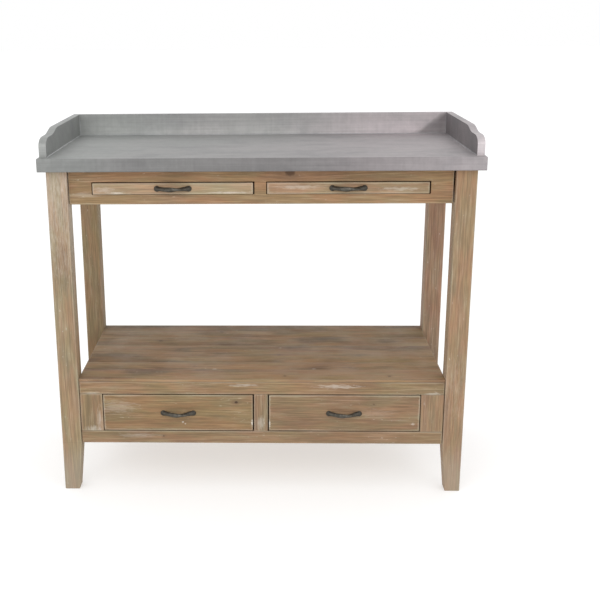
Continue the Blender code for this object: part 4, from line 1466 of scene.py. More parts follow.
@dataclass
class ZincTop(Assembly):
    """The tray and the three boards round it, folded in zinc.

    Attributes:
        fold: The radius of a fold.
        corner: The radius of a soldered corner.
        rim: The radius of a side board's edges.
        nose: The length of a side board's bright nose.
        face: How deep under the front a point still counts as its face.
        sheet: The thickness of the sheet.
        cell: The distance between two points of the sheet.
        lip: The distance from an edge to the first of them.
        sag: How far the sheet bows between its fixings.
        bead: The radius of a bead of solder.
    """

    fold: float = 0.0018
    corner: float = 0.0012
    # nose: The length of the painted highlight on a side board's nose.
    rim: float = 0.00045
    nose: float = 0.16
    face: float = 0.0010
    sheet: float = 0.0008
    cell: float = 0.012
    lip: float = 0.0030
    sag: float = 0.00035
    bead: float = 0.0013

    def build(self) -> None:
        """Build and dress the sheets and their seams."""
        tray, back = Box.of("tray_zinc"), Box.of("back_board_zinc")
        standing = Box(Vector((back.low.x, back.low.y, tray.high.z)), back.high)
        self._open_box("tray", tray, self.fold, self._tray_tarnish_and_shade)
        self._open_box("back_board", standing, self.corner, self._back_painted_light)
        self._side_board("left", 0.85, 1.00)
        self._side_board("right", 0.55, 1.45)
        self._seams(tray, back)
        for name in ("tray", "back_board", "left_side_board", "right_side_board"):
            self.shop.dress(f"{name}_core", Material.CORE)

    def _tray_tarnish_and_shade(self, at: Vector) -> float:
        """The tray's front edge is darker than its top, partly tarnish from handling and partly painted
        shade, and both are darkest in the middle.
        """
        box = Box.of("tray_zinc")
        share = at.x / box.high.x
        if at.y < box.low.y + self.face:
            return 0.54 + (0.34 if share > 0 else 0.19) * share * share
        return 0.84 + 0.11 * share * share

    def _back_painted_light(self, at: Vector) -> float:
        """The brightness of the back board.

        Its front is painted brighter towards its foot and its right end, and painted darker in a wedge at its
        right corner, which stands in for the right side board's reflection.

        Args:
            at: A point of it.

        Returns:
            What the zinc's brightness is multiplied by there.
        """
        box = Box.of("back_board_zinc")
        if at.y > box.low.y + self.face:
            return 0.95
        height = (at.z - box.low.z) / box.size.z
        # A painted reflection of the right side board: a dark wedge in the right corner, wider towards the
        # foot.
        corner = 0.022 + 0.080 * (1 - height)
        painted_reflection = clamped((at.x - box.high.x + corner) / 0.016 + 0.5)
        right = max(0.0, at.x / box.high.x)
        return (1.35 - 0.37 * height) * (1 + 0.38 * right * right) * (1 - 0.46 * painted_reflection)

    def _side_board(self, side: str, inner: float, nose: float) -> None:
        """A side board, its inner face darkened with painted shade and its nose lit with a painted highlight.

        Args:
            side: The side that it stands on.
            inner: What the zinc's brightness is multiplied by on its inner face, as painted shade.
            nose: The same at the tip of its nose, as a painted highlight.
        """
        node = f"{side}_side_board_zinc"
        box = Box.of(node)
        inside = box.high.x if box.middle.x < 0 else box.low.x

        def brightness(at: Vector) -> float:
            """What the zinc's brightness is multiplied by at a point."""
            # Painted shade on the inner face, and a painted highlight fading back from the nose.
            if abs(at.x - inside) < self.rim / 2:
                return inner
            return nose + (1.0 - nose) * clamped((at.y - box.low.y) / self.nose)

        mesh = cad_copy(f"{side}_side_board_sheet", node, self.rim, 3)
        tarnish_and_painted_light(mesh, brightness)
        self.shop.add(mesh, Material.ZINC, stands_for=node)

    def _open_box(self, part: str, box: Box, fold: float, rule: Callable[[Vector], float]) -> None:
        """A sheet folded down on four sides, faintly bowed, open underneath.

        Args:
            part: What it covers.
            box: The box that it fills.
            fold: The radius of its folds.
            rule: Gives the brightness of the zinc at a point.
        """
        shape = bmesh.new()
        steps = []
        for low, high in zip(box.low, box.high):
            count = max(2, round((high - low) / self.cell))
            inner = np.linspace(low + self.lip, high - self.lip, count + 1)
            steps.append(np.concatenate(([low], inner, [high])))
        self._grid(shape, steps[0], steps[1], lambda a, b: (a, b, box.high.z))
        for y in (box.low.y, box.high.y):
            self._grid(shape, steps[0], steps[2], lambda a, b, y=y: (a, y, b))
        for x in (box.low.x, box.high.x):
            self._grid(shape, steps[1], steps[2], lambda a, b, x=x: (x, a, b))
        bmesh.ops.remove_doubles(shape, verts=shape.verts, dist=MERGE)
        bmesh.ops.recalc_face_normals(shape, faces=shape.faces)
        if sum(face.normal.z * face.calc_area() for face in shape.faces) < 0:
            bmesh.ops.reverse_faces(shape, faces=shape.faces)
        round_off(shape, fold, 3)
        self._bow(shape, box)
        mesh = mesh_of(f"{part}_sheet", shape)
        mesh.shade_smooth()
        tarnish_and_painted_light(mesh, rule)
        piece = self.shop.add(mesh, Material.ZINC, stands_for=f"{part}_zinc")
        wall = piece.modifiers.new("sheet", "SOLIDIFY")
        wall.thickness = self.sheet
        wall.offset = -1.0
        wall.use_even_offset = True

    def _bow(self, shape: bmesh.types.BMesh, box: Box) -> None:
        """Bow the faces of a folded sheet inwards, all but its open foot.

        Args:
            shape: The sheet.
            box: The box that it fills.
        """
        middle = box.middle
        for vertex in shape.verts:
            wave = 0.5 + 0.5 * noise.noise(vertex.co * 6.5 + Vector((3.1, 0.0, 7.7)))
            inwards = middle - vertex.co
            for axis in range(3):
                at = vertex.co[axis]
                outside = min(abs(at - box.low[axis]), abs(at - box.high[axis])) < MERGE
                if outside and not (axis == 2 and at < middle.z):
                    vertex.co[axis] += math.copysign(self.sag * wave, inwards[axis])

    @staticmethod
    def _grid(shape: bmesh.types.BMesh, first: np.ndarray, second: np.ndarray,
              place: Callable[[float, float], tuple[float, float, float]]) -> None:
        """Lay a grid of faces over two rows of steps.

        Args:
            shape: The shape that the faces go into.
            first: The steps one way.
            second: The steps the other way.
            place: Gives the point at a step of each.
        """
        rows = [[shape.verts.new(place(float(a), float(b))) for b in second] for a in first]
        for row, following in zip(rows, rows[1:]):
            for index in range(len(row) - 1):
                shape.faces.new((row[index], following[index], following[index + 1], row[index + 1]))

    def _seams(self, tray: Box, back: Box) -> None:
        """Beads of solder along the foot of the boards and up their two inner corners.

        Args:
            tray: The tray's box.
            back: The back board's box.
        """
        out = self.bead * 0.3
        top, low = tray.high.z + self.bead * 0.25, back.low.y - out
        left, right = Box.of("left_side_board_zinc"), Box.of("right_side_board_zinc")
        inner_left, inner_right = left.high.x + out, right.low.x - out
        front = left.low.y + self.fold
        crest = back.high.z - self.fold * 2
        runs = [(Vector((inner_left, low, top)), Vector((inner_right, low, top)))]
        runs += [(Vector((x, front, top)), Vector((x, low, top))) for x in (inner_left, inner_right)]
        runs += [(Vector((x, low, top)), Vector((x, low, crest))) for x in (inner_left, inner_right)]
        meshes = []
        for number, (start, end) in enumerate(runs):
            values = {"Start": start, "End": end, "Radius": self.bead, "Seed": float(number),
                      "Material": self.shop.materials[Material.SOLDER]}
            meshes.append(evaluated_mesh(f"solder_{number}", self.patterns.bead, values))
        seams = joined("solder_seams", meshes)
        # The seams in the right corner are painted darker, as painted shade.
        tarnish_and_painted_light(seams, lambda at: 1.0 if at.x < right.low.x - 0.010 else 0.72)
        self.shop.add(seams, Material.SOLDER)


# --- The frame --------------------------------------------

@dataclass
class LegFrame(Assembly):
    """Four legs, the aprons between them, and what carries the upper drawers.

    Attributes:
        wear: How worn the legs are.
        apron_arris: The radius of the front apron's edges.
        joint: The gap between an apron and a leg.
        shrunk: The same at the front apron's left and right ends, where it has shrunk away from the legs.
        screw: The radius of a screw's head.
        screw_inset: Its distance from the end of what it holds.
    """

    wear: Wear = field(default_factory=lambda: Wear(radius=0.0020, dents=7))
    apron_arris: float = 0.0009
    joint: float = 0.0003
    shrunk: tuple[float, float] = (0.0013, 0.0040)
    screw: float = 0.0036
    screw_inset: float = 0.012

    def build(self) -> None:
        """Build and dress the frame."""
        for end in ("front", "back"):
            for side in ("left", "right"):
                self._leg(end, side)
                self.shop.copied(f"{end}_{side}_corner_block", Axis.Z, Material.CARCASS)
        self._front_apron()
        self._apron("back_apron", Axis.X)
        for side in ("left", "right"):
            self._apron(f"{side}_apron", Axis.Y)
            self.shop.copied(f"{side}_upper_runner", Axis.Y, Material.CARCASS)
        self.shop.copied("middle_upper_runner", Axis.Y, Material.CARCASS)
        self._screws()

    def _leg(self, end: str, side: str) -> None:
        """A square leg, its foot tapered on the two inner faces from the foot of the box down.

        Args:
            end: The end of the bench, front or back.
            side: Its side, left or right.
        """
        node = f"{end}_{side}_leg"
        box, foot = Box.of(node), foot_size(node)
        half = box.size / 2
        bend = Box.of("box_bottom_rail").low.z - box.middle.z
        inward = (side == "left", end == "front")
        across, through = Grain(box, Axis.Z, 1).axes[1:]

        def section(at: float) -> tuple[float, float, float, float]:
            """The sides of the leg at a height from its middle."""
            share = clamped((bend - at) / (bend + half.z))
            sides = []
            for axis in (across, through):
                low, high = -half[axis], half[axis]
                cut = share * (box.size[axis] - foot[axis])
                sides += [low, high - cut] if inward[axis] else [low + cut, high]
            return sides[0], sides[1], sides[2], sides[3]

        self.shop.board(node, Axis.Z, Material.WEATHERED, self.wear, section=section)

    def _front_apron(self) -> None:
        """One board with an opening for each upper drawer."""
        node = "front_apron"
        whole = Box.of(node)
        left, right = Box.of("front_left_leg").high.x, Box.of("front_right_leg").low.x
        low = Vector((left + self.shrunk[0], whole.low.y, whole.low.z))
        high = Vector((right - self.shrunk[1], whole.high.y, whole.high.z))
        grain = self.shop.grain(node, Axis.X, Box(low, high))
        openings = [opening_of(node, side) for side in (-1, 1)]
        mesh = pierced_board(f"{node}_timber", grain, openings, self.apron_arris)
        self.shop.add(mesh, Material.WEATHERED, stands_for=node)

    def _screws(self) -> None:
        """Screws through the corner blocks into the aprons, and through the back apron into the runners."""
        back = Box.of("back_apron").high.y
        held = []
        for end in ("front", "back"):
            for side in ("left", "right"):
                block = Box.of(f"{end}_{side}_corner_block")
                held.append((block, block.high.y if end == "front" else block.low.y))
        held += [(Box.of(f"{side}_upper_runner"), back) for side in ("left", "middle", "right")]
        rows = []
        for box, face in held:
            low = Vector((box.middle.x, face, box.low.z + self.screw_inset))
            high = Vector((box.middle.x, face, box.high.z - self.screw_inset))
            rows.append(Row(low, high, 2, Axis.Y, self.screw))
        self.fixings("frame_screws", rows)

    def _apron(self, node: str, along: Axis) -> None:
        """A plain apron between two legs, without the tenons inside them.

        Args:
            node: Its CAD node.
            along: The direction of its grain.
        """
        box = Box.of(node)
        low, high = box.low.copy(), box.high.copy()
        if along is Axis.X:
            low.x = Box.of("back_left_leg").high.x + self.joint
            high.x = Box.of("back_right_leg").low.x - self.joint
        else:
            low.y = Box.of("front_left_leg").high.y + self.joint
            high.y = Box.of("back_left_leg").low.y - self.joint
        self.shop.board(node, along, Material.WEATHERED, box=Box(low, high))


SOLE = 0.003            # how far above the floor a point still counts as a foot's sole


def foot_size(node: str) -> Vector:
    """The size of a leg where it stands on the floor."""
    points = points_of(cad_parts[node].data)
    return Box.around(points[points[:, 2] < points[:, 2].min() + SOLE]).size


def opening_of(node: str, side: int) -> Box:
    """The opening in one half of a pierced board.

    Args:
        node: The board's CAD node.
        side: The half, -1 for the left and 1 for the right.

    Returns:
        The box of the points that stand inside the board's outline, through its whole thickness.
    """
    margin, rail, end = 0.004, 0.015, 0.045
    whole = Box.of(node)
    points = points_of(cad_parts[node].data)
    level = (points[:, 2] > whole.low.z + rail) & (points[:, 2] < whole.high.z - rail)
    inside = level & (points[:, 0] * side > margin) & (np.abs(points[:, 0]) < whole.high.x - end)
    found = Box.around(points[inside])
    found.low.y, found.high.y = whole.low.y, whole.high.y
    return found


# --- The box under the shelf ------------------------------

@dataclass
class LowerBox(Assembly):
    """The shelf, the face frame under it, and the box behind.

    Attributes:
        boards: How many boards the shelf is glued from.
        joint: The width of the line between two of them.
        arris: The radius of their edges.
        spread: How much their widths differ, as a share.
        shelf_seed: What sets their widths.
        front_light: How light the front board is beside the finish.
        fall: How much darker each board is than the one before it.
        lift: How much lighter every other board is.
        crisp: How worn the boards of the box are.
        nail: The radius of a nail's head in the back panel.
        nail_step: The distance between two of them.
        nail_inset: Their distance from the edges of the panel.
        side_nail: The radius of a nail's head in a side panel.
        side_inset: Its distance from the ends of the guide behind the panel.
        screw: The radius of a screw's head in a guide.
        screw_inset: Its distance from the guide's ends.
    """

    boards: int = 7
    joint: float = 0.00035
    arris: float = 0.0009
    spread: float = 0.28
    shelf_seed: int = 4
    front_light: float = 0.975
    fall: float = 0.045
    lift: float = 0.025
    crisp: Wear = field(default_factory=lambda: Wear(radius=0.0010, spread=0.5, dents=3))
    nail: float = 0.0022
    nail_step: float = 0.085
    nail_inset: float = 0.009
    side_nail: float = 0.0016
    side_inset: float = 0.060
    screw: float = 0.0032
    screw_inset: float = 0.030

    def build(self) -> None:
        """Build and dress the box."""
        self._shelf()
        for node in ("box_top_rail", "box_bottom_rail"):
            self.shop.board(node, Axis.X, Material.WEATHERED, self.crisp)
        for node in ("left_stile", "middle_stile", "right_stile"):
            self.shop.board(node, Axis.Z, Material.WEATHERED, self.crisp)
        for side in ("left", "right"):
            self.shop.board(f"{side}_side_panel", Axis.Y, Material.WEATHERED, self.crisp)
            self.shop.copied(f"{side}_lower_guide", Axis.Y, Material.CARCASS)
        self.shop.board("box_back_panel", Axis.X, Material.CARCASS, self.crisp)
        self.shop.copied("box_bottom_panel", Axis.X, Material.CARCASS)
        self.shop.copied("middle_partition", Axis.Y, Material.CARCASS)
        self._nails()

    def _shelf(self) -> None:
        """The shelf's glued boards, each with a grain of its own."""
        node = "shelf_board"
        box = Box.of(node)
        values = {"Length": box.size.x, "Depth": box.size.y + self.joint, "Thickness": box.size.z,
                  "Boards": self.boards, "Joint": self.joint, "Arris": self.arris, "Spread": self.spread,
                  "Seed": self.shelf_seed, "Material": self.shop.materials[Material.SHELF]}
        mesh = evaluated_mesh("shelf_boards", self.patterns.glued, values)
        mesh.transform(Matrix.Translation(box.middle))
        weld(mesh)
        points = points_of(mesh)
        number = np.empty(len(points), np.int32)
        mesh.attributes[BOARD_NUMBER].data.foreach_get("value", number)
        for index in range(self.boards):
            chosen = number == index
            part = Box.around(points[chosen])
            self.shop.grain(node, Axis.X, part, self._look(index)).mark(mesh, chosen)
        for name in (BOARD_NUMBER, BOARD_MIDDLE, BOARD_WIDTH):
            mesh.attributes.remove(mesh.attributes[name])
        soften(mesh)
        self.shop.add(mesh, Material.SHELF, stands_for=node)

    def _look(self, index: int) -> Colour:
        """The look of a shelf board: a little darker than the one before it, and browner by turns."""
        light = self.front_light - self.fall * index + self.lift * (index % 2)
        return light, light * 0.93, light * (0.85 - 0.03 * (index % 3))

    def _nails(self) -> None:
        """Nail heads round the back panel and along the foot of the side panels, and screws in the guides."""
        panel = Box.of("box_back_panel")
        inset = Vector([self.nail_inset] * 3)
        low, high, face = panel.low + inset, panel.high - inset, panel.high.y
        across, upward = self._count(high.x - low.x), self._count(high.z - low.z)
        gap = (high.z - low.z) / (upward - 1)
        rows = []
        for z in (low.z, high.z):
            rows.append(Row(Vector((low.x, face, z)), Vector((high.x, face, z)), across, Axis.Y, self.nail))
        for x in (low.x, high.x):
            start, end = Vector((x, face, low.z + gap)), Vector((x, face, high.z - gap))
            rows.append(Row(start, end, upward - 2, Axis.Y, self.nail))
        for side in ("left", "right"):
            guide, board = Box.of(f"{side}_lower_guide"), Box.of(f"{side}_side_panel")
            outside = board.low.x if side == "left" else board.high.x
            start = Vector((outside, guide.low.y + self.side_inset, guide.middle.z))
            end = Vector((outside, guide.high.y - self.side_inset, guide.middle.z))
            rows.append(Row(start, end, 4, Axis.X, self.side_nail))
            start = Vector((guide.middle.x, guide.low.y + self.screw_inset, guide.high.z))
            end = Vector((guide.middle.x, guide.high.y - self.screw_inset, guide.high.z))
            rows.append(Row(start, end, 3, Axis.Z, self.screw))
        self.fixings("box_fixings", rows)

    def _count(self, length: float) -> int:
        """How many nails go from one corner to the next, with those at the corners."""
        return max(2, round(length / self.nail_step) + 1)


def weld(mesh: bpy.types.Mesh) -> None:
    """Merge a mesh's doubled points and turn its faces outwards."""
    shape = bmesh.new()
    shape.from_mesh(mesh)
    bmesh.ops.remove_doubles(shape, verts=shape.verts, dist=MERGE)
    bmesh.ops.recalc_face_normals(shape, faces=shape.faces)
    shape.to_mesh(mesh)
    shape.free()


# --- Drawers ----------------------------------------------

@dataclass
class Drawer(Assembly):
    """One drawer with its pull.

    Attributes:
        name: The drawer's CAD body.
        front: The material of its front.
        shrunk: How far its front has shrunk at its left end, its right end and its foot.
        wear: How worn its front is.
        arris: The radius of its other boards' edges.
        nail: The radius of a nail's head.
        nail_step: The least distance between two nails in a side.
    """

    name: str
    front: Material
    shrunk: tuple[float, float, float] = (0.0, 0.0, 0.0)
    wear: Wear = field(default_factory=lambda: Wear(radius=0.0014, spread=0.6, dents=6))
    arris: float = 0.0005
    nail: float = 0.0014
    nail_step: float = 0.026

    def build(self) -> None:
        """Build and dress the drawer."""
        node = f"{self.name}_front"
        whole = Box.of(node)
        left, right, foot = self.shrunk
        box = Box(whole.low + Vector((left, 0.0, foot)), whole.high - Vector((right, 0.0, 0.0)))
        self.shop.board(node, Axis.X, self.front, self.wear, self.name, box=box)
        parts = {"left_side": Axis.Y, "right_side": Axis.Y, "back": Axis.X, "bottom": Axis.X}
        for part, along in parts.items():
            self.shop.copied(f"{self.name}_{part}", along, Material.DRAWER, self.name, self.arris)
        Pull(self.shop, self.patterns, self.name).build()
        self._nails()

    def _nails(self) -> None:
        """Nails through the sides and the bottom into the back."""
        back, bottom = Box.of(f"{self.name}_back"), Box.of(f"{self.name}_bottom")
        inset = back.size.z * 0.2
        count = max(2, round(back.size.z / self.nail_step))
        rows = []
        for side in ("left", "right"):
            board = Box.of(f"{self.name}_{side}_side")
            outside = board.low.x if side == "left" else board.high.x
            low = Vector((outside, back.middle.y, back.low.z + inset))
            high = Vector((outside, back.middle.y, back.high.z - inset))
            rows.append(Row(low, high, count, Axis.X, self.nail))
        start = Vector((back.low.x + inset, back.middle.y, bottom.low.z))
        end = Vector((back.high.x - inset, back.middle.y, bottom.low.z))
        rows.append(Row(start, end, 4, Axis.Z, self.nail))
        self.fixings(f"{self.name}_nails", rows, self.name)


@dataclass
class Pull(Assembly):
    """A cast bow pull: two rosettes, a bar bowed out between them, and a stud through the front at each end.

    Attributes:
        drawer: The drawer's CAD body.
        rosette: The thickness of a rosette.
        neck: The radius of the bar where it leaves a rosette.
        waist: Its radius at the quarters.
        swell: Its radius in the middle.
        stud: The radius of a stud.
        gap: The distance from the front to the stud's head behind it.
        twist: How far the strands of the bar stand out, as a share of its radius.
        strands: How many strands it has.
        turns: How often they turn from one end to the other.
        rings: The rings of points along the bar, less one.
        sides: The points round the bar.
        facets: The points round a rosette or a stud.
    """

    drawer: str
    rosette: float = 0.0034
    neck: float = 0.0058
    waist: float = 0.0040
    swell: float = 0.0054
    stud: float = 0.0020
    gap: float = 0.0003
    twist: float = 0.20
    strands: int = 2
    turns: float = 1.5
    rings: int = 72
    sides: int = 30
    facets: int = 24

    def build(self) -> None:
        """Build and dress the pull."""
        node = f"{self.drawer}_pull"
        box, face = Box.of(node), Box.of(f"{self.drawer}_front")
        rim = box.size.z / 2
        centres = box.size.x / 2 - rim
        middle = Vector((box.middle.x, face.low.y, box.middle.z))
        reach = face.low.y - box.low.y
        shells = [self._bar(middle, centres, reach)]
        for side in (-1, 1):
            place = middle + Vector((side * centres, 0.0, 0.0))
            shells.append(self._turned(place, self._rosette_profile(rim)))
            shells.append(self._turned(place, self._stud_profile(box.high.y - face.low.y, face.size.y)))
        mesh = joined(f"{node}_casting", shells)
        self._rub_and_highlight(mesh, middle, reach, rim)
        self.shop.add(mesh, Material.BRONZE, self.drawer, node)

    def _bar(self, middle: Vector, centres: float, reach: float) -> bpy.types.Mesh:
        """The bowed bar: thick where it leaves a rosette, waisted at each quarter, swelling in the middle.

        Args:
            middle: The place on the front between the rosettes.
            centres: Half of the distance between them.
            reach: How far the pull stands out of the front.

        Returns:
            The closed mesh.
        """
        depth = reach - self.swell * (1 + self.twist)
        shape = bmesh.new()
        rings = []
        for step in range(self.rings + 1):
            share = step / self.rings
            from_middle = abs(2 * share - 1)
            radius = self.waist + (self.swell - self.waist) * math.exp(-(from_middle / 0.36) ** 2)
            radius += (self.neck - self.waist) * math.exp(-((1 - from_middle) / 0.30) ** 2)
            before, centre, ahead = (self._centre(share + by, centres, depth) for by in (-0.01, 0.0, 0.01))
            tangent = (ahead - before).normalized()
            side = Vector((tangent.y, -tangent.x, 0.0))
            ring = []
            for index in range(self.sides):
                angle = 2 * math.pi * index / self.sides
                strand = self.strands * angle + self.turns * 2 * math.pi * share
                swollen = radius * (1 + self.twist * math.cos(strand) * (1 - from_middle ** 4))
                ring.append(shape.verts.new(middle + centre + side * (swollen * math.cos(angle))
                                            + Vector((0.0, 0.0, swollen * math.sin(angle)))))
            rings.append(ring)
        return closed_loft("bar", shape, rings)

    @staticmethod
    def _centre(share: float, centres: float, depth: float) -> Vector:
        """A point of the bar's centreline, at a share of its length."""
        along, base = 2 * clamped(share) - 1, 0.001
        return Vector((centres * along, -base - (depth - base) * math.cos(math.pi / 2 * along) ** 1.3, 0.0))

    def _rosette_profile(self, rim: float) -> list[tuple[float, float]]:
        """(radius, height) up a rosette: a rolled rim, a hollow, and a boss in the middle."""
        shares = ((0.96, 0.0), (1.0, 0.22), (0.97, 0.50), (0.86, 0.66), (0.74, 0.56), (0.66, 0.62),
                  (0.58, 0.90), (0.36, 1.12))
        return [(rim * out, self.rosette * up) for out, up in shares]

    def _stud_profile(self, deep: float, thick: float) -> list[tuple[float, float]]:
        """(radius, height) of a stud and its head, running back through the front."""
        head, foot = self.stud * 2.1, -thick - self.gap
        return [(self.stud, 0.0), (self.stud, foot), (head * 0.95, foot), (head, foot - 0.0005),
                (head * 0.75, -deep + 0.0002)]

    def _turned(self, place: Vector, profile: Sequence[tuple[float, float]]) -> bpy.types.Mesh:
        """A profile turned about the axis through a place.

        Args:
            place: The place on the front.
            profile: The radius of each ring, and how far out of the front it lies.

        Returns:
            The closed mesh.
        """
        shape = bmesh.new()
        angles = [2 * math.pi * index / self.facets for index in range(self.facets)]
        rings = []
        for radius, height in profile:
            around = [Vector((radius * math.cos(a), -height, radius * math.sin(a))) for a in angles]
            rings.append([shape.verts.new(place + out) for out in around])
        return closed_loft("turned", shape, rings)

    @staticmethod
    def _rub_and_highlight(mesh: bpy.types.Mesh, middle: Vector, reach: float, rim: float) -> None:
        """Store how far fingers have rubbed each point, most on the bar's swell and the rosettes' rims, with
        a painted highlight where a face turns up and to the front.

        Args:
            mesh: The pull's mesh.
            middle: The place on the front between the rosettes.
            reach: How far the pull stands out of the front.
            rim: The radius of a rosette.
        """
        points = points_of(mesh) - np.array(middle, np.float32)
        normals = np.empty(points.size, np.float32)
        mesh.vertices.foreach_get("normal", normals)
        normals = normals.reshape(-1, 3)
        outward = np.clip(-points[:, 1] / reach, 0.0, 1.0)
        # Painted highlight: more where a face turns up and to the front.
        facing = np.clip(0.35 - 0.45 * normals[:, 1] + 0.55 * normals[:, 2], 0.0, 1.0)
        high = np.clip(np.abs(points[:, 2]) / rim, 0.0, 1.0)
        worn = np.clip((outward ** 1.4) * facing + 0.25 * high * (outward < 0.2), 0.0, 1.0)
        write(mesh, WORN_AND_HIGHLIGHT, worn[:, None].astype(np.float32))


# --- Studio -----------------------------------------------

@dataclass
class Lamp:
    """A soft area light.

    Attributes:
        name: Its name.
        place: Where it stands.
        aim: What it points at.
        size: Its width and height.
        power: Its power in watts.
        colour: Its colour.
    """

    name: str
    place: Vector
    aim: Vector
    size: tuple[float, float]
    power: float
    colour: Colour = (1.0, 1.0, 1.0)

    def build(self) -> None:
        """Put the light in the scene."""
        light = bpy.data.lights.new(self.name, "AREA")
        light.shape = "RECTANGLE"
        light.size, light.size_y = self.size
        light.energy = self.power
        light.color = self.colour
        lamp = bpy.data.objects.new(self.name, light)
        lamp.location = self.place
        lamp.rotation_euler = (self.aim - self.place).to_track_quat("-Z", "Y").to_euler()
        bpy.context.scene.collection.objects.link(lamp)


@dataclass
class Studio:
    """The floor, the soft light and the camera.

    Attributes:
        eye: The camera's place.
        turn: Its heading from +Y towards +X, in degrees.
        tilt: Its elevation, in degrees.
        roll: Its roll, in degrees.
        lens: Its focal length in millimetres, on a sensor 36 mm wide.
        shift: How far its frame is shifted, as shares of the frame.
        sky: The brightness of the surroundings.
    """

    eye: Vector = field(default_factory=lambda: Vector((0.025, -2.652, 1.207)))
    turn: float = -2.10
    tilt: float = -16.88
    roll: float = -0.58
    lens: float = 61.07
    shift: tuple[float, float] = (0.1084, 0.0307)
    sky: float = 1.0

    def build(self) -> None:
        """Build the studio."""
        self._floor()
        self._world()
        self._lights()
        self._camera()
        view = bpy.context.scene.view_settings
        view.view_transform = "Standard"
        view.look = "None"

    def _floor(self) -> None:
        """A wide pale floor just under the feet."""
        reach, drop = 30.0, 0.0005
        shape = bmesh.new()
        bmesh.ops.create_grid(shape, x_segments=1, y_segments=1, size=reach)
        mesh = mesh_of("studio_floor", shape)
        mesh.transform(Matrix.Translation((0.0, 0.0, CAD_BOUNDS[0].z - drop)))
        material = bpy.data.materials.new("studio_floor")
        FloorFinish().build(material)
        mesh.materials.append(material)
        floor = bpy.data.objects.new("studio_floor", mesh)
        bpy.context.scene.collection.objects.link(floor)

    def _world(self) -> None:
        """An even white surround."""
        world = bpy.data.worlds.new("surround")
        world.use_nodes = True
        background = world.node_tree.nodes["Background"]
        background.inputs["Color"].default_value = (1.0, 1.0, 1.0, 1.0)
        background.inputs["Strength"].default_value = self.sky
        bpy.context.scene.world = world

    def _lights(self) -> None:
        """A broad light above the camera's left, and a weaker one from the right."""
        middle = (CAD_BOUNDS[0] + CAD_BOUNDS[1]) / 2
        Lamp("key", Vector((-1.6, -3.2, 2.6)), middle, (2.2, 1.6), 26.0, (1.0, 0.985, 0.96)).build()
        Lamp("fill", Vector((2.4, -2.6, 1.6)), middle, (2.0, 1.6), 14.0, (1.0, 0.96, 0.95)).build()

    def _camera(self) -> None:
        """The camera in front of the bench, a little above it."""
        data = bpy.data.cameras.new("camera")
        data.lens = self.lens
        data.sensor_width = 36.0
        data.shift_x, data.shift_y = self.shift
        camera = bpy.data.objects.new("camera", data)
        heading = Matrix.Rotation(math.radians(-self.turn), 4, "Z")
        pitch = Matrix.Rotation(math.radians(90.0 + self.tilt), 4, "X")
        camera.matrix_world = Matrix.Translation(self.eye) @ heading @ pitch @ Matrix.Rotation(
            math.radians(self.roll), 4, "Z")
        bpy.context.scene.collection.objects.link(camera)
        bpy.context.scene.camera = camera


# --- The bench --------------------------------------------

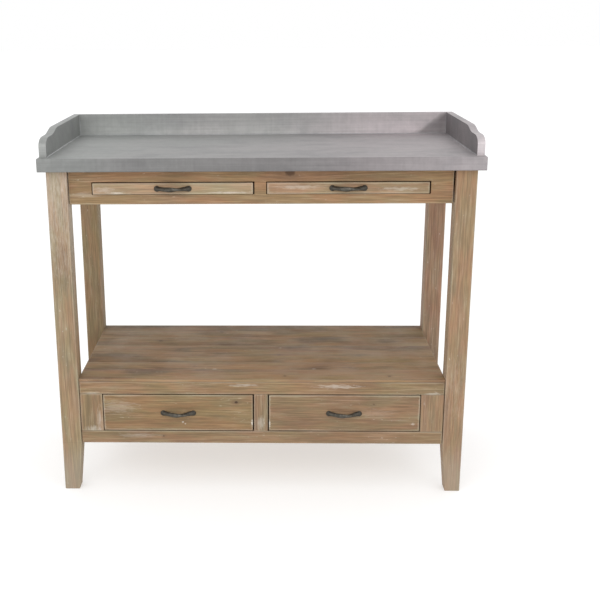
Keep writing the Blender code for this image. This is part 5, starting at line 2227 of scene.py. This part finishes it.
SPOTS: Mapping[Material, Sequence[Spot]] = {
    Material.WEATHERED: (
        Knot("front_apron", 0.573, 0.91, 0.66, 0.0094),
        Knot("box_bottom_rail", 0.229, 0.58, 0.60, 0.0022),
        Knot("front_left_leg", 0.146, 0.27, 0.70, 0.0024),
        Knot("front_right_leg", 0.486, 0.45, 0.60, 0.0026),
        Smear("front_right_leg", 0.087, 0.42, 0.75, (0.0026, 0.019)),
        # A broad pale wash that makes the top of the front left leg lighter.
        Smear("front_left_leg", 0.98, 0.50, 0.42, (0.360, 0.050), 0.45),
        Smear("front_left_leg", 0.30, 0.62, 0.36, (0.050, 0.009)),
        Smear("front_left_leg", 0.157, 0.45, 0.55, (0.0016, 0.034), 0.30, DIRT),
        Smear("front_right_leg", 0.34, 0.45, 0.20, (0.170, 0.030), 0.60),
        Smear("front_apron", 0.06, 0.28, 0.20, (0.050, 0.0090), 0.60),
        Smear("box_top_rail", 0.71, 0.66, 0.42, (0.060, 0.0070)),
        Smear("box_top_rail", 0.45, 0.75, 0.34, (0.045, 0.0050)),
        Smear("box_top_rail", 0.03, 0.09, 0.28, (0.030, 0.0036)),
        Smear("box_top_rail", 0.97, 0.09, 0.42, (0.030, 0.0036)),
        Smear("left_stile", 0.06, 0.55, 0.36, (0.010, 0.026)),
        Smear("middle_stile", 0.22, 0.50, 0.34, (0.024, 0.014)),
        Smear("left_stile", 0.30, 0.84, 0.34, (0.040, 0.008)),
        Smear("box_bottom_rail", 0.16, 0.62, 0.22, (0.060, 0.007)),
    ),
    Material.DRAWER_FRONT: (
        Knot("lower_left_drawer_front", 0.887, 0.80, 0.85, 0.0036),
        Knot("lower_right_drawer_front", 0.696, 0.76, 0.55, 0.0018),
        Smear("lower_left_drawer_front", 0.09, 0.66, 0.17, (0.060, 0.026)),
        Smear("lower_left_drawer_front", 0.53, 0.24, 0.70, (0.0032, 0.0030)),
        Smear("lower_left_drawer_front", 0.545, 0.20, 0.70, (0.0026, 0.0026)),
        Smear("lower_left_drawer_front", 0.996, 0.22, 0.85, (0.0040, 0.014)),
        Smear("lower_right_drawer_front", 0.004, 0.20, 0.85, (0.0040, 0.014)),
        Smear("lower_right_drawer_front", 0.958, 0.21, 0.60, (0.0070, 0.0040)),
        Smear("lower_right_drawer_front", 0.72, 0.50, 0.08, (0.060, 0.020)),
        Smear("lower_right_drawer_front", 0.684, 0.62, 0.28, (0.0012, 0.028), 0.25, DIRT),
    ),
    Material.LIMED: (
        Smear("upper_left_drawer_front", 0.84, 0.15, 0.50, (0.060, 0.0034)),
        Smear("upper_left_drawer_front", 0.15, 0.12, 0.55, (0.030, 0.0040)),
        Smear("upper_left_drawer_front", 0.07, 0.42, 0.30, (0.030, 0.0090)),
        Smear("upper_right_drawer_front", 0.20, 0.60, 0.34, (0.070, 0.0070)),
        Smear("upper_right_drawer_front", 0.82, 0.42, 0.34, (0.060, 0.0060)),
    ),
    Material.SHELF: (
        Knot("shelf_board", 0.192, 0.678, 0.60, 0.0050),
        Knot("shelf_board", 0.374, 0.861, 0.60, 0.0045),
        Knot("shelf_board", 0.551, 0.417, 0.50, 0.0040),
        Knot("shelf_board", 0.566, 0.060, 0.60, 0.0032),
        Knot("shelf_board", 0.853, 0.060, 0.70, 0.0036),
        Knot("shelf_board", 0.876, 0.683, 0.30, 0.0210),
        Smear("shelf_board", 0.557, 0.546, 0.70, (0.0070, 0.0030)),
        Smear("shelf_board", 0.648, 0.176, 0.70, (0.0070, 0.0030)),
        Smear("shelf_board", 0.370, 0.172, 0.60, (0.0070, 0.0030)),
    ),
}

SHRINKAGE = 0.0014      # how far a drawer's front has shrunk at the sides where it shows


def main() -> None:
    """Build the bench and its studio, and report each piece."""
    logging.basicConfig(level=logging.INFO, format="%(name)s: %(message)s")
    shop, patterns = Workshop(), Patterns()
    Studio().build()
    ZincTop(shop, patterns).build()
    LegFrame(shop, patterns).build()
    LowerBox(shop, patterns).build()
    outer = (0.0, SHRINKAGE, 0.0)
    for side, lower in (("left", (0.0, SHRINKAGE, SHRINKAGE)), ("right", (SHRINKAGE, 0.0, SHRINKAGE))):
        Drawer(shop, patterns, f"upper_{side}_drawer", Material.LIMED, outer).build()
        Drawer(shop, patterns, f"lower_{side}_drawer", Material.DRAWER_FRONT, lower).build()
    effects = Effects()
    for material, timber in TIMBERS.items():
        spots = [(spot, shop.find(spot)) for spot in SPOTS.get(material, ())]
        timber.build(shop.materials[material], effects, spots)
    for material, metal in METALS.items():
        metal.build(shop.materials[material], effects)


if __name__ == "__main__":
    main()
